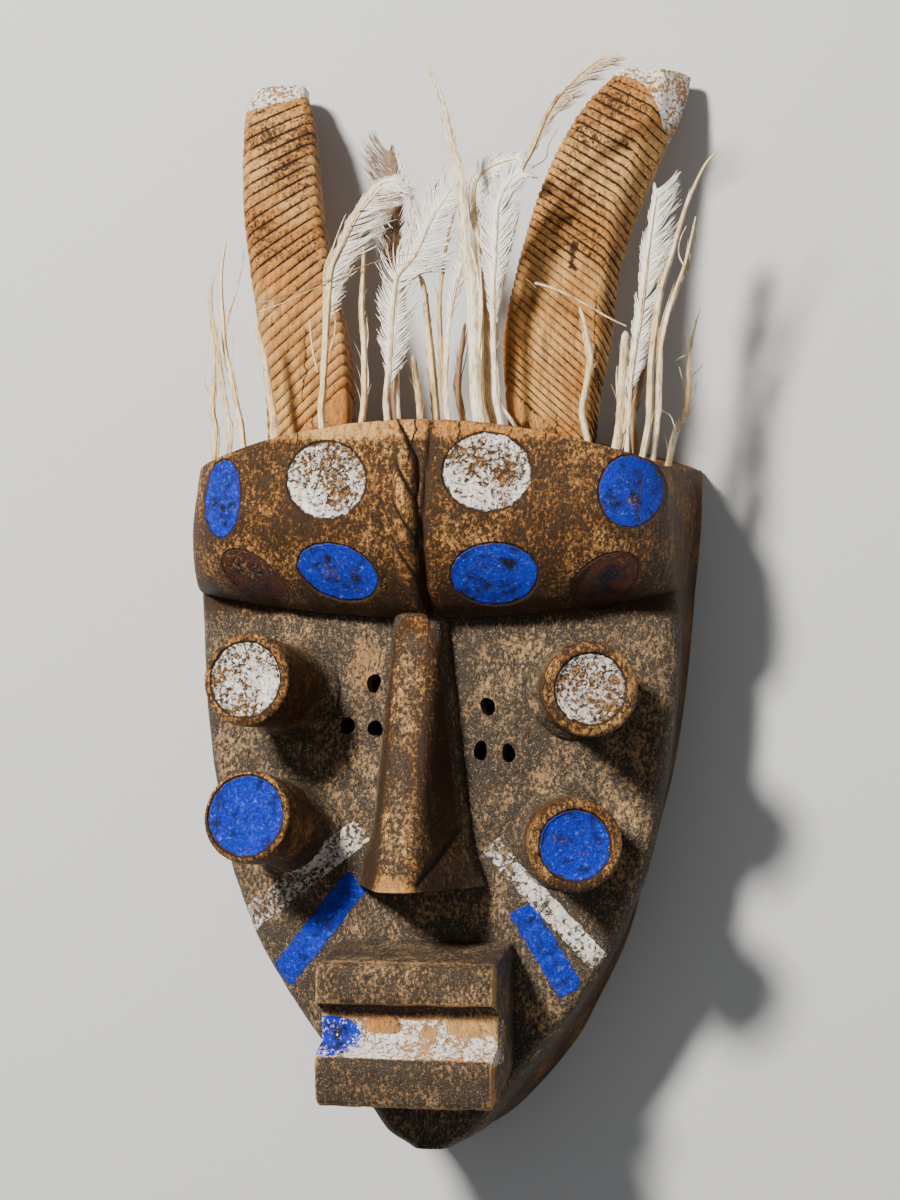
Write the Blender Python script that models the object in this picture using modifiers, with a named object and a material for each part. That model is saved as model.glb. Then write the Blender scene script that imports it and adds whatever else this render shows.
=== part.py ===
"""Carved wooden mask with two horns, tube eyes and a crown of feathers, lying on its back.

X runs across the face, Y from the chin to the horns and Z out of the face. The rear rim lies
on Z = 0, and the origin is on that rim in the middle of the chin. Lengths are in metres.
"""
import math
from typing import NamedTuple

import bmesh
import bpy
from mathutils import Vector

MM = 0.001
FIT = 0.3 * MM

# The mask's outline and walls
MASK_HEIGHT = 390.5 * MM
CHIN_BELOW_ORIGIN = 4 * MM
PLATE_HALF_WIDTH = 132 * MM
RIM_HALF_WIDTH = 134 * MM
CROWN_ARC = 24 * MM
BROW_ARC = 14 * MM
SIDE_WALL = 13 * MM
FACE_WALL = 14 * MM
CHIN_WALL = 14 * MM
CROWN_WALL = 27 * MM
REAR_TRIM = 4 * MM

# The face's surface, measured from the rear rim
EYE_PLANE_DEPTH = 96 * MM
CHEEK_FALL = 13 * MM
CHEEK_EDGE_ROUND = 9 * MM
BROW_BULGE = 44 * MM
BROW_RISE = 62 * MM
BROW_TOP_FALL = 8 * MM
FOREHEAD_EDGE_REACH = 36 * MM
FOREHEAD_EDGE_DROP = 32 * MM
BROW_LINE = 0.730

# Half widths of the face plate and of the rear rim, as shares, at shares of the mask's height
PLATE_OUTLINE = (
    (0.000, 0.075), (0.020, 0.180), (0.050, 0.250), (0.090, 0.345), (0.135, 0.455), (0.180, 0.560),
    (0.270, 0.735), (0.360, 0.850), (0.430, 0.910), (0.540, 0.965), (0.660, 1.000), (0.850, 1.000),
    (1.000, 0.975),
)
RIM_OUTLINE = (
    (0.000, 0.075), (0.020, 0.180), (0.045, 0.265), (0.090, 0.385), (0.135, 0.485), (0.180, 0.555),
    (0.270, 0.680), (0.360, 0.755), (0.430, 0.815), (0.540, 0.895), (0.660, 0.948), (0.850, 0.990),
    (1.000, 1.000),
)

# The nose: a long wedge with a rounded ridge and a flat-cut end
NOSE_CENTRE = -4 * MM
NOSE_ROOT = 0.752
NOSE_END = 0.364
NOSE_ROOT_HALF = 14 * MM
NOSE_END_HALF = 30 * MM
NOSTRIL_FLARE = 6 * MM
NOSE_ROOT_DEPTH = 108 * MM
NOSE_END_DEPTH = 158 * MM
RIDGE_HALF = 12 * MM

# The mouth: a block with two lips and a slot between them
MOUTH_LEFT = 50 * MM
MOUTH_RIGHT = 46 * MM
MOUTH_BOTTOM = 0.072
LOWER_LIP_HEIGHT = 27 * MM
TEETH_HEIGHT = 27 * MM
UPPER_LIP_HEIGHT = 21 * MM
LIP_DEPTH = 149 * MM
SLOT_DEPTH = 15 * MM
UNDERCUT = 18 * MM
LIP_TOP_SLOPE = 9 * MM
LIP_WEAR = 3 * MM

# The four tubes on the cheeks
TUBE_LENGTH = 61 * MM
TUBE_TIP_RADIUS = 25.2 * MM
TUBE_WAIST_RADIUS = 23 * MM
TUBE_FILLET = 5 * MM
TUBE_RIM = 5.5 * MM
TUBE_RECESS = 2.5 * MM

# The braided ridge on the forehead
BRAID_CENTRE = -3 * MM
BRAID_HALF = 7 * MM
BRAID_PROUD = 9 * MM
BRAID_PITCH = 20 * MM
BRAID_WAIST = 0.55
BRAID_SLANT = 1.7

# The eye holes
EYE_HOLE_RADIUS = 3.8 * MM

# The two horns
HORN_LEFT_LENGTH = 192 * MM
HORN_RIGHT_LENGTH = 196 * MM
HORN_THICKNESS = 33 * MM
HORN_TIP_THICKNESS = 27 * MM
HORN_FRONT_DEPTH = 92 * MM
HORN_SETBACK = 60 * MM
HORN_EDGE = 4 * MM
HORN_SWELL = 1.5 * MM
HORN_ROOT = 26 * MM
GROOVED_SHARE = 0.90
GROOVE_PITCH_LEFT = 6.4 * MM
GROOVE_PITCH_RIGHT = 4.6 * MM
GROOVE_DEPTH = 1.4 * MM

# The quills that stand in holes along the crown
QUILL_SIDES = 6
QUILL_RADIUS = 2.1 * MM
QUILL_ROW_DEPTH = 36 * MM
QUILL_ROW_HEIGHT = 195 * MM
SOCKET_DEPTH = 12 * MM
LEAN_PER_LENGTH = 0.03

# Edges that turn by more than this stay sharp where the surface is shaded
SHARP_ANGLE = math.radians(32)

COLLECTION_NAME = "grebo_mask"


class Tube(NamedTuple):
    """A tube's foot on the cheek, and how far its tip leans as shares of the tube's length."""
    name: str
    across: float
    up: float
    lean_out: float
    lean_up: float


TUBES = (
    Tube("tube_upper_left", -0.590, 0.632, -0.164, 0.098),
    Tube("tube_lower_left", -0.590, 0.440, -0.164, 0.148),
    Tube("tube_upper_right", 0.610, 0.634, 0.279, 0.016),
    Tube("tube_lower_right", 0.550, 0.429, 0.279, 0.0),
)

# The eye holes' places, across as a share of the half width and up as a share of the height
EYE_HOLES = (
    (-0.234, 0.640), (-0.349, 0.581), (-0.228, 0.577),
    (0.242, 0.609), (0.326, 0.545), (0.212, 0.548),
)


class Horn(NamedTuple):
    """One horn: the edges of its grooved front face, from the crown to the tip.

    Each station is the height above the crown's middle as a share of the horn's length, then
    the places across of the face's inner edge and of its outer edge, as shares of the mask's
    half width. The flare is how much further out the rear lies at the tip, as a share of the
    length.
    """
    name: str
    length: float
    pitch: float
    flare: float
    edges: tuple


HORNS = (
    Horn("horn_left", HORN_LEFT_LENGTH, GROOVE_PITCH_LEFT, -0.010, (
        (-0.10, -0.3485, -0.7061),
        (0.00, -0.3485, -0.7061),
        (0.15, -0.3530, -0.7212),
        (0.31, -0.3864, -0.7576),
        (0.50, -0.4644, -0.8144),
        (0.68, -0.5288, -0.8636),
        (0.92, -0.5985, -0.8970),
        (1.00, -0.6591, -0.8636),
    )),
    Horn("horn_right", HORN_RIGHT_LENGTH, GROOVE_PITCH_RIGHT, 0.061, (
        (-0.10, 0.3106, 0.6591),
        (0.00, 0.3106, 0.6606),
        (0.11, 0.2947, 0.6697),
        (0.24, 0.2818, 0.7030),
        (0.43, 0.3265, 0.7197),
        (0.56, 0.3697, 0.7462),
        (0.68, 0.4136, 0.7917),
        (0.80, 0.4826, 0.8409),
        (0.91, 0.5697, 0.8939),
        (1.00, 0.6894, 0.9167),
    )),
)


class Quill(NamedTuple):
    """A quill: its hole, its size, its bends above the crown and its vane if it kept one.

    The hole lies across the crown by a share of the mask's half width, and set back from the
    front by a share of the row's depth. The radius is a share of a plain quill's. Each bend is
    the offset across and up from the hole, as shares of the row's height. The vane runs from
    one share of the length to another, with its greatest reach to the left and to the right
    as shares of the row's height.
    """
    name: str
    across: float
    setback: float
    radius: float
    bends: tuple
    tip: float = 0.35
    vane: tuple = ()


QUILLS = (
    Quill("quill_01", -0.905, 0.361, 1.00, ((-0.010, 0.133), (-0.005, 0.277))),
    Quill("quill_02", -0.820, 0.306, 1.00,
          ((-0.026, 0.128), (-0.046, 0.251), (-0.067, 0.385), (-0.056, 0.497))),
    Quill("quill_03", -0.765, 0.500, 1.00,
          ((-0.036, 0.144), (-0.062, 0.282), (-0.077, 0.436), (-0.062, 0.590))),
    Quill("quill_04", -0.615, 0.250, 1.10, ((-0.021, 0.123), (-0.051, 0.323))),
    Quill("feather_05", -0.405, 0.250, 1.19,
          ((0.005, 0.103), (0.021, 0.338), (0.056, 0.497), (0.128, 0.626), (0.226, 0.687)),
          0.3, (0.52, 1.0, 0.026, 0.062)),
    Quill("feather_06", -0.135, 0.944, 0.95,
          ((0.010, 0.338), (0.005, 0.615), (-0.010, 0.749)), 0.3, (0.50, 1.0, 0.067, 0.026)),
    Quill("quill_07", -0.245, 0.389, 1.10, ((0.000, 0.226), (-0.005, 0.303), (0.000, 0.503))),
    Quill("quill_08", -0.110, 0.694, 0.95,
          ((0.010, 0.272), (0.031, 0.451), (0.051, 0.590), (-0.005, 0.759))),
    Quill("feather_09", -0.140, 0.472, 1.05,
          ((0.015, 0.138), (0.031, 0.359), (0.072, 0.462), (0.128, 0.544), (0.195, 0.646)),
          0.3, (0.25, 1.0, 0.056, 0.062)),
    Quill("quill_10", 0.000, 0.417, 1.00, ((-0.005, 0.082), (-0.021, 0.174)), 0.7),
    Quill("quill_11", 0.046, 0.750, 1.33, ((-0.021, 0.179), (-0.046, 0.405)), 0.6),
    Quill("feather_12", 0.115, 0.444, 0.95,
          ((0.005, 0.133), (0.015, 0.277), (0.041, 0.410), (0.056, 0.462)), 0.3, (0.68, 1.0, 0.021, 0.026)),
    Quill("quill_13", 0.100, 0.611, 0.76,
          ((-0.015, 0.226), (-0.015, 0.338), (0.010, 0.497), (0.031, 0.585))),
    Quill("quill_14", 0.150, 0.861, 1.10, ((0.010, 0.154), (0.026, 0.282)), 0.5),
    Quill("quill_15", 0.250, 0.250, 2.10,
          ((-0.005, 0.241), (-0.026, 0.503), (-0.051, 0.703), (-0.092, 0.862), (-0.133, 0.985))),
    Quill("feather_16", 0.245, 0.972, 1.00,
          ((-0.021, 0.308), (-0.031, 0.574), (0.005, 0.697), (0.113, 0.733)),
          0.3, (0.66, 1.0, 0.031, 0.051)),
    Quill("feather_17", 0.290, 0.611, 1.10,
          ((0.000, 0.308), (0.036, 0.549), (0.092, 0.692), (0.185, 0.872), (0.349, 1.000)),
          0.2, (0.68, 1.0, 0.006, 0.041)),
    Quill("feather_18", 0.335, 0.250, 1.00,
          ((-0.010, 0.246), (-0.010, 0.410), (0.005, 0.585), (0.067, 0.687)),
          0.3, (0.48, 1.0, 0.041, 0.056)),
    Quill("quill_19", 0.370, 0.694, 0.62, ((0.000, 0.308), (0.031, 0.462), (0.062, 0.579))),
    Quill("quill_20", 0.680, 0.250, 1.05,
          ((0.015, 0.149), (0.026, 0.215), (0.021, 0.267), (-0.005, 0.359))),
    Quill("quill_21", 0.795, 0.250, 1.57, ((0.005, 0.154), (0.015, 0.323)), 0.75),
    Quill("feather_22", 0.812, 0.750, 0.95,
          ((0.010, 0.195), (0.026, 0.308), (0.062, 0.544), (0.087, 0.708)), 0.3, (0.42, 1.0, 0.021, 0.056)),
    Quill("quill_23", 0.835, 0.972, 1.24, ((0.026, 0.185), (0.046, 0.297)), 0.5),
    Quill("quill_24", 0.890, 0.278, 1.19,
          ((0.010, 0.256), (0.041, 0.472), (0.087, 0.641), (0.138, 0.759), (0.205, 0.836))),
    Quill("quill_25", 0.912, 0.611, 0.95, ((0.010, 0.282), (0.041, 0.462), (0.082, 0.605), (0.103, 0.667))),
    Quill("quill_26", 0.950, 1.000, 1.00, ((0.031, 0.154), (0.046, 0.256), (0.056, 0.338), (0.082, 0.451))),
)


class Paint(NamedTuple):
    """A plain material's name, colour, roughness and metallic value."""
    name: str
    colour: tuple
    roughness: float
    metallic: float = 0.0


CARVED_WOOD = Paint("wood", (0.18, 0.11, 0.06, 1.0), 0.62)
QUILL_HORN = Paint("horn", (0.80, 0.70, 0.48, 1.0), 0.45)
FEATHER_VANE = Paint("vane", (0.85, 0.80, 0.72, 1.0), 0.80)


def clear_scene():
    """Remove every object that is in the scene at the start."""
    for old in list(bpy.data.objects):
        bpy.data.objects.remove(old, do_unlink=True)


def new_collection(name):
    """Make a collection in the scene and return it."""
    collection = bpy.data.collections.new(name)
    bpy.context.scene.collection.children.link(collection)
    return collection


def new_material(paint, owner):
    """Make one piece's own Principled material from a paint's values."""
    material = bpy.data.materials.new(f"{owner}_{paint.name}")
    material.use_nodes = True
    shader = material.node_tree.nodes["Principled BSDF"]
    shader.inputs["Base Color"].default_value = paint.colour
    shader.inputs["Roughness"].default_value = paint.roughness
    shader.inputs["Metallic"].default_value = paint.metallic
    return material


def between(stations, share, column=1):
    """Read a column of the stations at a share, along a smooth curve through them."""
    last = len(stations) - 1
    index = 0
    while index < last - 1 and share > stations[index + 1][0]:
        index += 1
    start, end = stations[index], stations[index + 1]
    span = end[0] - start[0]
    before = stations[max(index - 1, 0)]
    after = stations[min(index + 2, last)]
    slope_in = (end[column] - before[column]) / (end[0] - before[0]) * span
    slope_out = (after[column] - start[column]) / (after[0] - start[0]) * span
    t = min(max((share - start[0]) / span, 0.0), 1.0)
    rise = t * t * (3 - 2 * t)
    curve = start[column] * (1 - rise) + end[column] * rise
    return curve + (t ** 3 - 2 * t ** 2 + t) * slope_in + (t ** 3 - t ** 2) * slope_out


def height_at(share):
    """Give the height along the midline for a share of the mask's height."""
    return share * MASK_HEIGHT - CHIN_BELOW_ORIGIN


def arc_at(share):
    """Give how much a row rises or falls from the midline to the edge of the plate."""
    if share <= 0.5:
        return 0.0
    if share <= BROW_LINE:
        return BROW_ARC * (share - 0.5) / (BROW_LINE - 0.5)
    climb = (share - BROW_LINE) / (1 - BROW_LINE)
    return BROW_ARC + (-CROWN_ARC - BROW_ARC) * climb


def row_height(share, across):
    """Give the height of a row at a place across, as a share of the half width."""
    return height_at(share) + arc_at(share) * across * across


def bulge_at(share):
    """Give how full the brow's bulge is on a row, from 0 below the brow to 1."""
    above = height_at(share) - height_at(BROW_LINE)
    if above <= 0:
        return 0.0
    climb = min(above / BROW_RISE, 1.0)
    full = math.sqrt(1 - (1 - climb) ** 2)
    past = max(above - BROW_RISE, 0.0) / max(height_at(1) - height_at(BROW_LINE) - BROW_RISE, MM)
    return full - BROW_TOP_FALL / BROW_BULGE * past


def plate_half(share):
    """Give the face plate's half width on a row."""
    return PLATE_HALF_WIDTH * between(PLATE_OUTLINE, share)


def rim_half(share):
    """Give the rear rim's half width on a row."""
    return RIM_HALF_WIDTH * between(RIM_OUTLINE, share)


def edge_round(share):
    """Give the reach and the drop of the plate's rounded edge on a row."""
    full = bulge_at(share)
    reach = CHEEK_EDGE_ROUND + (FOREHEAD_EDGE_REACH - CHEEK_EDGE_ROUND) * full
    drop = CHEEK_EDGE_ROUND + (FOREHEAD_EDGE_DROP - CHEEK_EDGE_ROUND) * full
    return min(reach, 0.7 * plate_half(share)), drop


def face_depth(x, share):
    """Give the face's surface above the rear rim at x on a row."""
    half = plate_half(share)
    reach, drop = edge_round(share)
    fall = CHEEK_FALL * (abs(x) / (0.85 * PLATE_HALF_WIDTH)) ** 1.3
    t = min(max((abs(x) - (half - reach)) / reach, 0.0), 1.0)
    return EYE_PLANE_DEPTH - fall + BROW_BULGE * bulge_at(share) - drop * (1 - math.sqrt(1 - t * t))


def share_of(height, x):
    """Give the row whose height at x is the given one."""
    low, high = 0.0, 1.0
    for _ in range(30):
        middle = (low + high) / 2
        if row_height(middle, x / max(plate_half(middle), MM)) < height:
            low = middle
        else:
            high = middle
    return low


def crown_height(x):
    """Give the height of the crown's shelf at x."""
    return row_height(1.0, x / PLATE_HALF_WIDTH)


def add_mesh(name, rings, collection):
    """Make a closed body from rings of equally many points, and return its object."""
    mesh = bpy.data.meshes.new(name)
    body = bmesh.new()
    loops = [[body.verts.new(point) for point in ring] for ring in rings]
    count = len(loops[0])
    for lower, upper in zip(loops, loops[1:]):
        for index in range(count):
            following = (index + 1) % count
            body.faces.new((lower[index], lower[following], upper[following], upper[index]))
    body.faces.new(loops[0])
    body.faces.new(loops[-1])
    bmesh.ops.recalc_face_normals(body, faces=body.faces)
    bmesh.ops.triangulate(body, faces=body.faces)
    body.to_mesh(mesh)
    body.free()
    mesh.shade_smooth()
    mesh.set_sharp_from_angle(angle=SHARP_ANGLE)
    solid = bpy.data.objects.new(name, mesh)
    collection.objects.link(solid)
    return solid


def make_guide(solid):
    """Keep an object as a guide that only shapes other objects."""
    solid.hide_render = True
    solid.display_type = "WIRE"
    return solid


def combine(target, other, operation):
    """Join another solid to the target, or cut it out, with a Boolean modifier."""
    change = target.modifiers.new(f"{operation.lower()}_{other.name}", "BOOLEAN")
    change.operation = operation
    change.solver = "EXACT"
    change.object = other


def body_shares():
    """Give the rows from the chin to the crown, closer at the chin and at the brow."""
    chin = [0.24 * (step / 9) ** 1.8 for step in range(10)]
    cheeks = [0.24 + (BROW_LINE - 0.012 - 0.24) * step / 8 for step in range(1, 9)]
    turn = [BROW_LINE + BROW_RISE / MASK_HEIGHT * (1 - math.cos(math.radians(angle)))
            for angle in (0, 12, 24, 38, 54, 72, 90)]
    top = [turn[-1] + (1 - turn[-1]) * step / 3 for step in range(1, 4)]
    return chin + cheeks + turn + top


def body_ring(share):
    """Give one row's outline: the rear rim, the side walls and the face between them."""
    plate, rim = plate_half(share), rim_half(share)
    reach, _ = edge_round(share)
    front = [1.0, 0.93, 0.75, 0.45, 0.0]
    corner = [plate - reach + reach * step for step in front]
    middle = [(plate - reach) * step for step in (0.75, 0.5, 0.25)]
    right = corner + middle
    across = right + [0.0] + [-x for x in reversed(right)]
    ring = [Vector((rim * step, row_height(share, step), -REAR_TRIM)) for step in (0.2, 0.6, 1.0)]
    wall_top = face_depth(plate, share)
    ring.append(Vector(((rim + plate) / 2, row_height(share, 1), wall_top / 2)))
    ring += [Vector((x, row_height(share, x / plate), face_depth(x, share))) for x in across]
    ring.append(Vector((-(rim + plate) / 2, row_height(share, 1), wall_top / 2)))
    ring += [Vector((-rim * step, row_height(share, step), -REAR_TRIM)) for step in (1.0, 0.6, 0.2)]
    return ring


def mask_body(collection):
    """Make the shell's outer form, still solid."""
    rings = [body_ring(share) for share in body_shares()]
    return add_mesh("mask", rings, collection)


def hollow_ring(share):
    """Give one row of the hollow behind the face, which is open at the rear rim."""
    outer_low = height_at(0) + CHIN_WALL
    outer_high = height_at(1) - CROWN_WALL
    lift = outer_low + (outer_high - outer_low) * share
    behind_brow = (lift - FACE_WALL + CHIN_BELOW_ORIGIN) / MASK_HEIGHT
    plate = max(plate_half(share) - SIDE_WALL, 3 * MM)
    rim = max(rim_half(share) - SIDE_WALL, 3 * MM)
    roof = EYE_PLANE_DEPTH - FACE_WALL + 0.6 * BROW_BULGE * bulge_at(behind_brow)
    right = [(0.3 * rim, -2 * REAR_TRIM), (0.7 * rim, -2 * REAR_TRIM), (rim, -2 * REAR_TRIM)]
    right += [(plate, 0.62 * roof), (0.88 * plate, 0.86 * roof), (0.6 * plate, 0.965 * roof)]
    points = right + [(0.0, roof)] + [(-x, z) for x, z in reversed(right)]
    return [Vector((x, lift + arc_at(share) * (x / PLATE_HALF_WIDTH) ** 2, z)) for x, z in points]


def mask_hollow(collection):
    """Make the hollow as a cutter."""
    shares = [0.02, 0.06, 0.12, 0.2, 0.3, 0.42, 0.54, 0.66, 0.75, 0.83, 0.92, 1.0]
    return make_guide(add_mesh("hollow", [hollow_ring(share) for share in shares], collection))


def rear_trim(collection):
    """Make the block whose top cuts the rear rim flat."""
    reach = 2 * MASK_HEIGHT
    corners = [(-reach, -reach), (reach, -reach), (reach, reach), (-reach, reach)]
    rings = [[Vector((x, y, z)) for x, y in corners] for z in (-4 * REAR_TRIM, 0)]
    return make_guide(add_mesh("rear_trim", rings, collection))


def nose_ring(t):
    """Give one cross-section of the nose, from its root (0) to its cut end (1)."""
    share = NOSE_ROOT + (NOSE_END - NOSE_ROOT) * t
    y = height_at(share)
    flare = NOSTRIL_FLARE * max(0.0, (t - 0.75) / 0.25) ** 2
    half = NOSE_ROOT_HALF + (NOSE_END_HALF - NOSE_ROOT_HALF) * t + flare
    top = NOSE_ROOT_DEPTH + (NOSE_END_DEPTH - NOSE_ROOT_DEPTH) * t
    ridge = min(RIDGE_HALF, 0.8 * half)
    foot = EYE_PLANE_DEPTH
    shoulder = foot + 0.55 * (top - foot)
    right = [
        (half, foot - 0.6 * FACE_WALL), (half, foot + 0.06 * (top - foot)),
        (0.5 * (half + ridge), shoulder - 0.12 * (top - foot)),
        (ridge, top - 0.42 * ridge), (0.55 * ridge, top - 0.08 * ridge),
    ]
    points = right + [(-x, z) for x, z in reversed(right)]
    return [Vector((NOSE_CENTRE + x, y, z)) for x, z in points]


def nose(collection):
    """Make the nose's wedge."""
    steps = 8
    return make_guide(add_mesh("nose", [nose_ring(step / steps) for step in range(steps + 1)], collection))


def mouth_profile():
    """Give the mouth block's side view as heights and depths, from below to above."""
    foot = EYE_PLANE_DEPTH - 0.6 * FACE_WALL
    low = height_at(MOUTH_BOTTOM)
    lip = low + LOWER_LIP_HEIGHT
    slot = lip + TEETH_HEIGHT
    top = slot + UPPER_LIP_HEIGHT
    teeth = LIP_DEPTH - SLOT_DEPTH
    return [
        (low + UNDERCUT, foot), (low + 0.3 * LIP_WEAR, LIP_DEPTH - 2.2 * LIP_WEAR),
        (low, LIP_DEPTH - LIP_WEAR), (low + LIP_WEAR, LIP_DEPTH),
        (lip - 1.6 * LIP_WEAR, LIP_DEPTH + 0.3 * LIP_WEAR), (lip - 0.3 * LIP_WEAR, LIP_DEPTH - 0.5 * LIP_WEAR),
        (lip + 2 * LIP_WEAR, teeth + 0.4 * LIP_WEAR), (lip + 2.4 * LIP_WEAR, teeth),
        (slot - 0.2 * LIP_WEAR, teeth), (slot, LIP_DEPTH - LIP_WEAR),
        (slot + 0.7 * LIP_WEAR, LIP_DEPTH - 0.2 * LIP_WEAR), (top - LIP_WEAR, LIP_DEPTH - 0.4 * LIP_WEAR),
        (top, LIP_DEPTH - 1.4 * LIP_WEAR), (top + LIP_TOP_SLOPE, foot + 0.5 * FACE_WALL),
        (top + LIP_TOP_SLOPE, foot),
    ]


def mouth(collection):
    """Make the mouth block, with its ends worn round."""
    profile = mouth_profile()
    centre = sum(y for y, _ in profile) / len(profile)
    rings = []
    for x, wear in ((-MOUTH_LEFT, LIP_WEAR), (-MOUTH_LEFT + LIP_WEAR, 0.3 * LIP_WEAR),
                    (-MOUTH_LEFT + 2.5 * LIP_WEAR, 0), (MOUTH_RIGHT - 2.5 * LIP_WEAR, 0),
                    (MOUTH_RIGHT - LIP_WEAR, 0.3 * LIP_WEAR), (MOUTH_RIGHT, LIP_WEAR)):
        shrink = 1 - wear / (0.5 * (LOWER_LIP_HEIGHT + TEETH_HEIGHT + UPPER_LIP_HEIGHT))
        foot = min(z for _, z in profile)
        rings.append([Vector((x, centre + (y - centre) * shrink, z - (wear if z > foot + FACE_WALL else 0)))
                      for y, z in profile])
    return make_guide(add_mesh("mouth", rings, collection))


def tube(spec, collection):
    """Make one cheek tube: a turned profile with a fillet at its foot and a sunk end."""
    foot = -0.5 * FACE_WALL
    profile = [
        (0, TUBE_LENGTH - TUBE_RECESS), (TUBE_TIP_RADIUS - TUBE_RIM, TUBE_LENGTH - TUBE_RECESS),
        (TUBE_TIP_RADIUS - TUBE_RIM + 0.5 * MM, TUBE_LENGTH), (TUBE_TIP_RADIUS - MM, TUBE_LENGTH),
        (TUBE_TIP_RADIUS, TUBE_LENGTH - MM), (TUBE_WAIST_RADIUS, 0.45 * TUBE_LENGTH),
        (TUBE_WAIST_RADIUS, 2 * TUBE_FILLET), (TUBE_WAIST_RADIUS + 0.3 * TUBE_FILLET, TUBE_FILLET),
        (TUBE_WAIST_RADIUS + TUBE_FILLET, 0), (0, foot),
    ]
    mesh = bpy.data.meshes.new(spec.name)
    points = [(radius, 0, z) for radius, z in profile]
    mesh.from_pydata(points, [(i, i + 1) for i in range(len(points) - 1)], [])
    turned = bpy.data.objects.new(spec.name, mesh)
    collection.objects.link(turned)
    screw = turned.modifiers.new("turn", "SCREW")
    screw.steps = 20
    screw.render_steps = 20
    screw.use_merge_vertices = True
    screw.merge_threshold = 0.00001
    x = spec.across * PLATE_HALF_WIDTH
    y = height_at(spec.up)
    base = Vector((x, y, face_depth(x, share_of(y, x))))
    along = Vector((spec.lean_out, spec.lean_up, math.sqrt(1 - spec.lean_out ** 2)))
    turned.location = base
    turned.rotation_euler = along.to_track_quat("Z", "Y").to_euler()
    return make_guide(turned)


def braid(collection):
    """Make the twisted ridge down the forehead: slanting rows that swell and narrow."""
    low = height_at(NOSE_ROOT)
    high = height_at(1) - 0.5 * BRAID_PITCH
    rows = 4 * round((high - low) / BRAID_PITCH)
    rings = []
    for row in range(rows + 1):
        y = low + (high - low) * row / rows
        swell = BRAID_WAIST + (1 - BRAID_WAIST) * abs(math.sin(math.pi * row / 4))
        ring = []
        for step in range(7):
            angle = math.pi * step / 6
            x = math.cos(angle) * BRAID_HALF * (0.7 + 0.3 * swell)
            place = y - BRAID_SLANT * x
            surface = face_depth(BRAID_CENTRE + x, share_of(place, BRAID_CENTRE + x))
            ring.append(Vector((BRAID_CENTRE + x, place, surface + math.sin(angle) * BRAID_PROUD * swell)))
        floor = min(point.z for point in ring) - 0.4 * FACE_WALL
        ring.append(Vector((ring[-1].x, ring[-1].y, floor)))
        ring.append(Vector((ring[0].x, ring[0].y, floor)))
        rings.append(ring)
    return make_guide(add_mesh("braid", rings, collection))


def horn_depth(climb):
    """Give how deep the horn's front face lies at a share of its length."""
    return HORN_FRONT_DEPTH - HORN_SETBACK * max(climb, 0.0) ** 2.0


def groove_slant(spec, climb):
    """Give the slope of the grooves across the front face, level in the hidden root and at the tip."""
    steep = math.tan(math.radians(42 - 16 * min(max(climb, 0.0), 1.0)))
    fade_in = min(1.0, 1.0 + climb * spec.length / HORN_ROOT)
    fade_out = min(1.0, (1 - climb) / (1 - GROOVED_SHARE))
    return steep * min(fade_in, fade_out)


def horn_ring(spec, climb, sunk):
    """Give one row of a horn, with its front points sunk by a groove's depth."""
    width = PLATE_HALF_WIDTH * abs(between(spec.edges, climb, 2) - between(spec.edges, climb, 1))
    rise = groove_slant(spec, climb) * width / 2 / spec.length
    inner = PLATE_HALF_WIDTH * between(spec.edges, min(climb + rise, 1.0), 1)
    outer = PLATE_HALF_WIDTH * between(spec.edges, climb - rise, 2)
    middle, half = (inner + outer) / 2, (outer - inner) / 2
    flare = spec.flare * spec.length * max(climb, 0.0) ** 1.6
    back = -HORN_THICKNESS + (HORN_THICKNESS - HORN_TIP_THICKNESS) * max(climb, 0.0)
    section = [
        (-1.0, 0, -HORN_EDGE), (-0.84, 0, -sunk), (0.0, 0, HORN_SWELL - sunk), (0.84, 0, -sunk),
        (1.0, 0, -HORN_EDGE), (1.0, flare, back + HORN_EDGE), (0.0, 0.7 * flare, back),
        (-1.0, 0.4 * flare, back + HORN_EDGE),
    ]
    ring = []
    for across, outward, depth in section:
        place = climb - across * rise
        up = height_at(1) + place * spec.length
        ring.append(Vector((middle + across * half + outward, up, horn_depth(place) + depth)))
    return ring


def horn(spec, collection):
    """Make one horn, whose rows follow the slanting grooves on its front face."""
    rings = [horn_ring(spec, -HORN_ROOT / spec.length, 0)]
    grooves = int(GROOVED_SHARE * spec.length / spec.pitch)
    for step in range(2 * grooves + 1):
        climb = GROOVED_SHARE * step / (2 * grooves)
        rings.append(horn_ring(spec, climb, GROOVE_DEPTH * (step % 2)))
    rings.append(horn_ring(spec, 0.965, 0))
    rings.append(horn_ring(spec, 1.0, 3 * MM))
    return make_guide(add_mesh(spec.name, rings, collection))


def quill_foot(spec):
    """Give the middle of a quill's hole where it opens in the crown."""
    x = spec.across * PLATE_HALF_WIDTH
    return Vector((x, crown_height(x), face_depth(x, 1.0) - spec.setback * QUILL_ROW_DEPTH))


def quill_path(spec):
    """Give a quill's centre line, from the bottom of its hole to its tip, measured from the hole's mouth."""
    first = Vector((*spec.bends[0], 0))
    down = first.normalized() * -(SOCKET_DEPTH - FIT)
    points = [(0, 0)] + list(spec.bends)
    lengths = [0.0]
    for (x0, y0), (x1, y1) in zip(points, points[1:]):
        lengths.append(lengths[-1] + math.hypot(x1 - x0, y1 - y0))
    stations = [(length / lengths[-1], x, y) for length, (x, y) in zip(lengths, points)]
    steps = 5 if not spec.vane else 9
    path = [down, Vector((0, 0, 0))]
    for step in range(1, steps + 1):
        share = step / steps
        x, y = between(stations, share, 1), between(stations, share, 2)
        path.append(Vector((x, y, -LEAN_PER_LENGTH * y)) * QUILL_ROW_HEIGHT)
    return path


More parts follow.
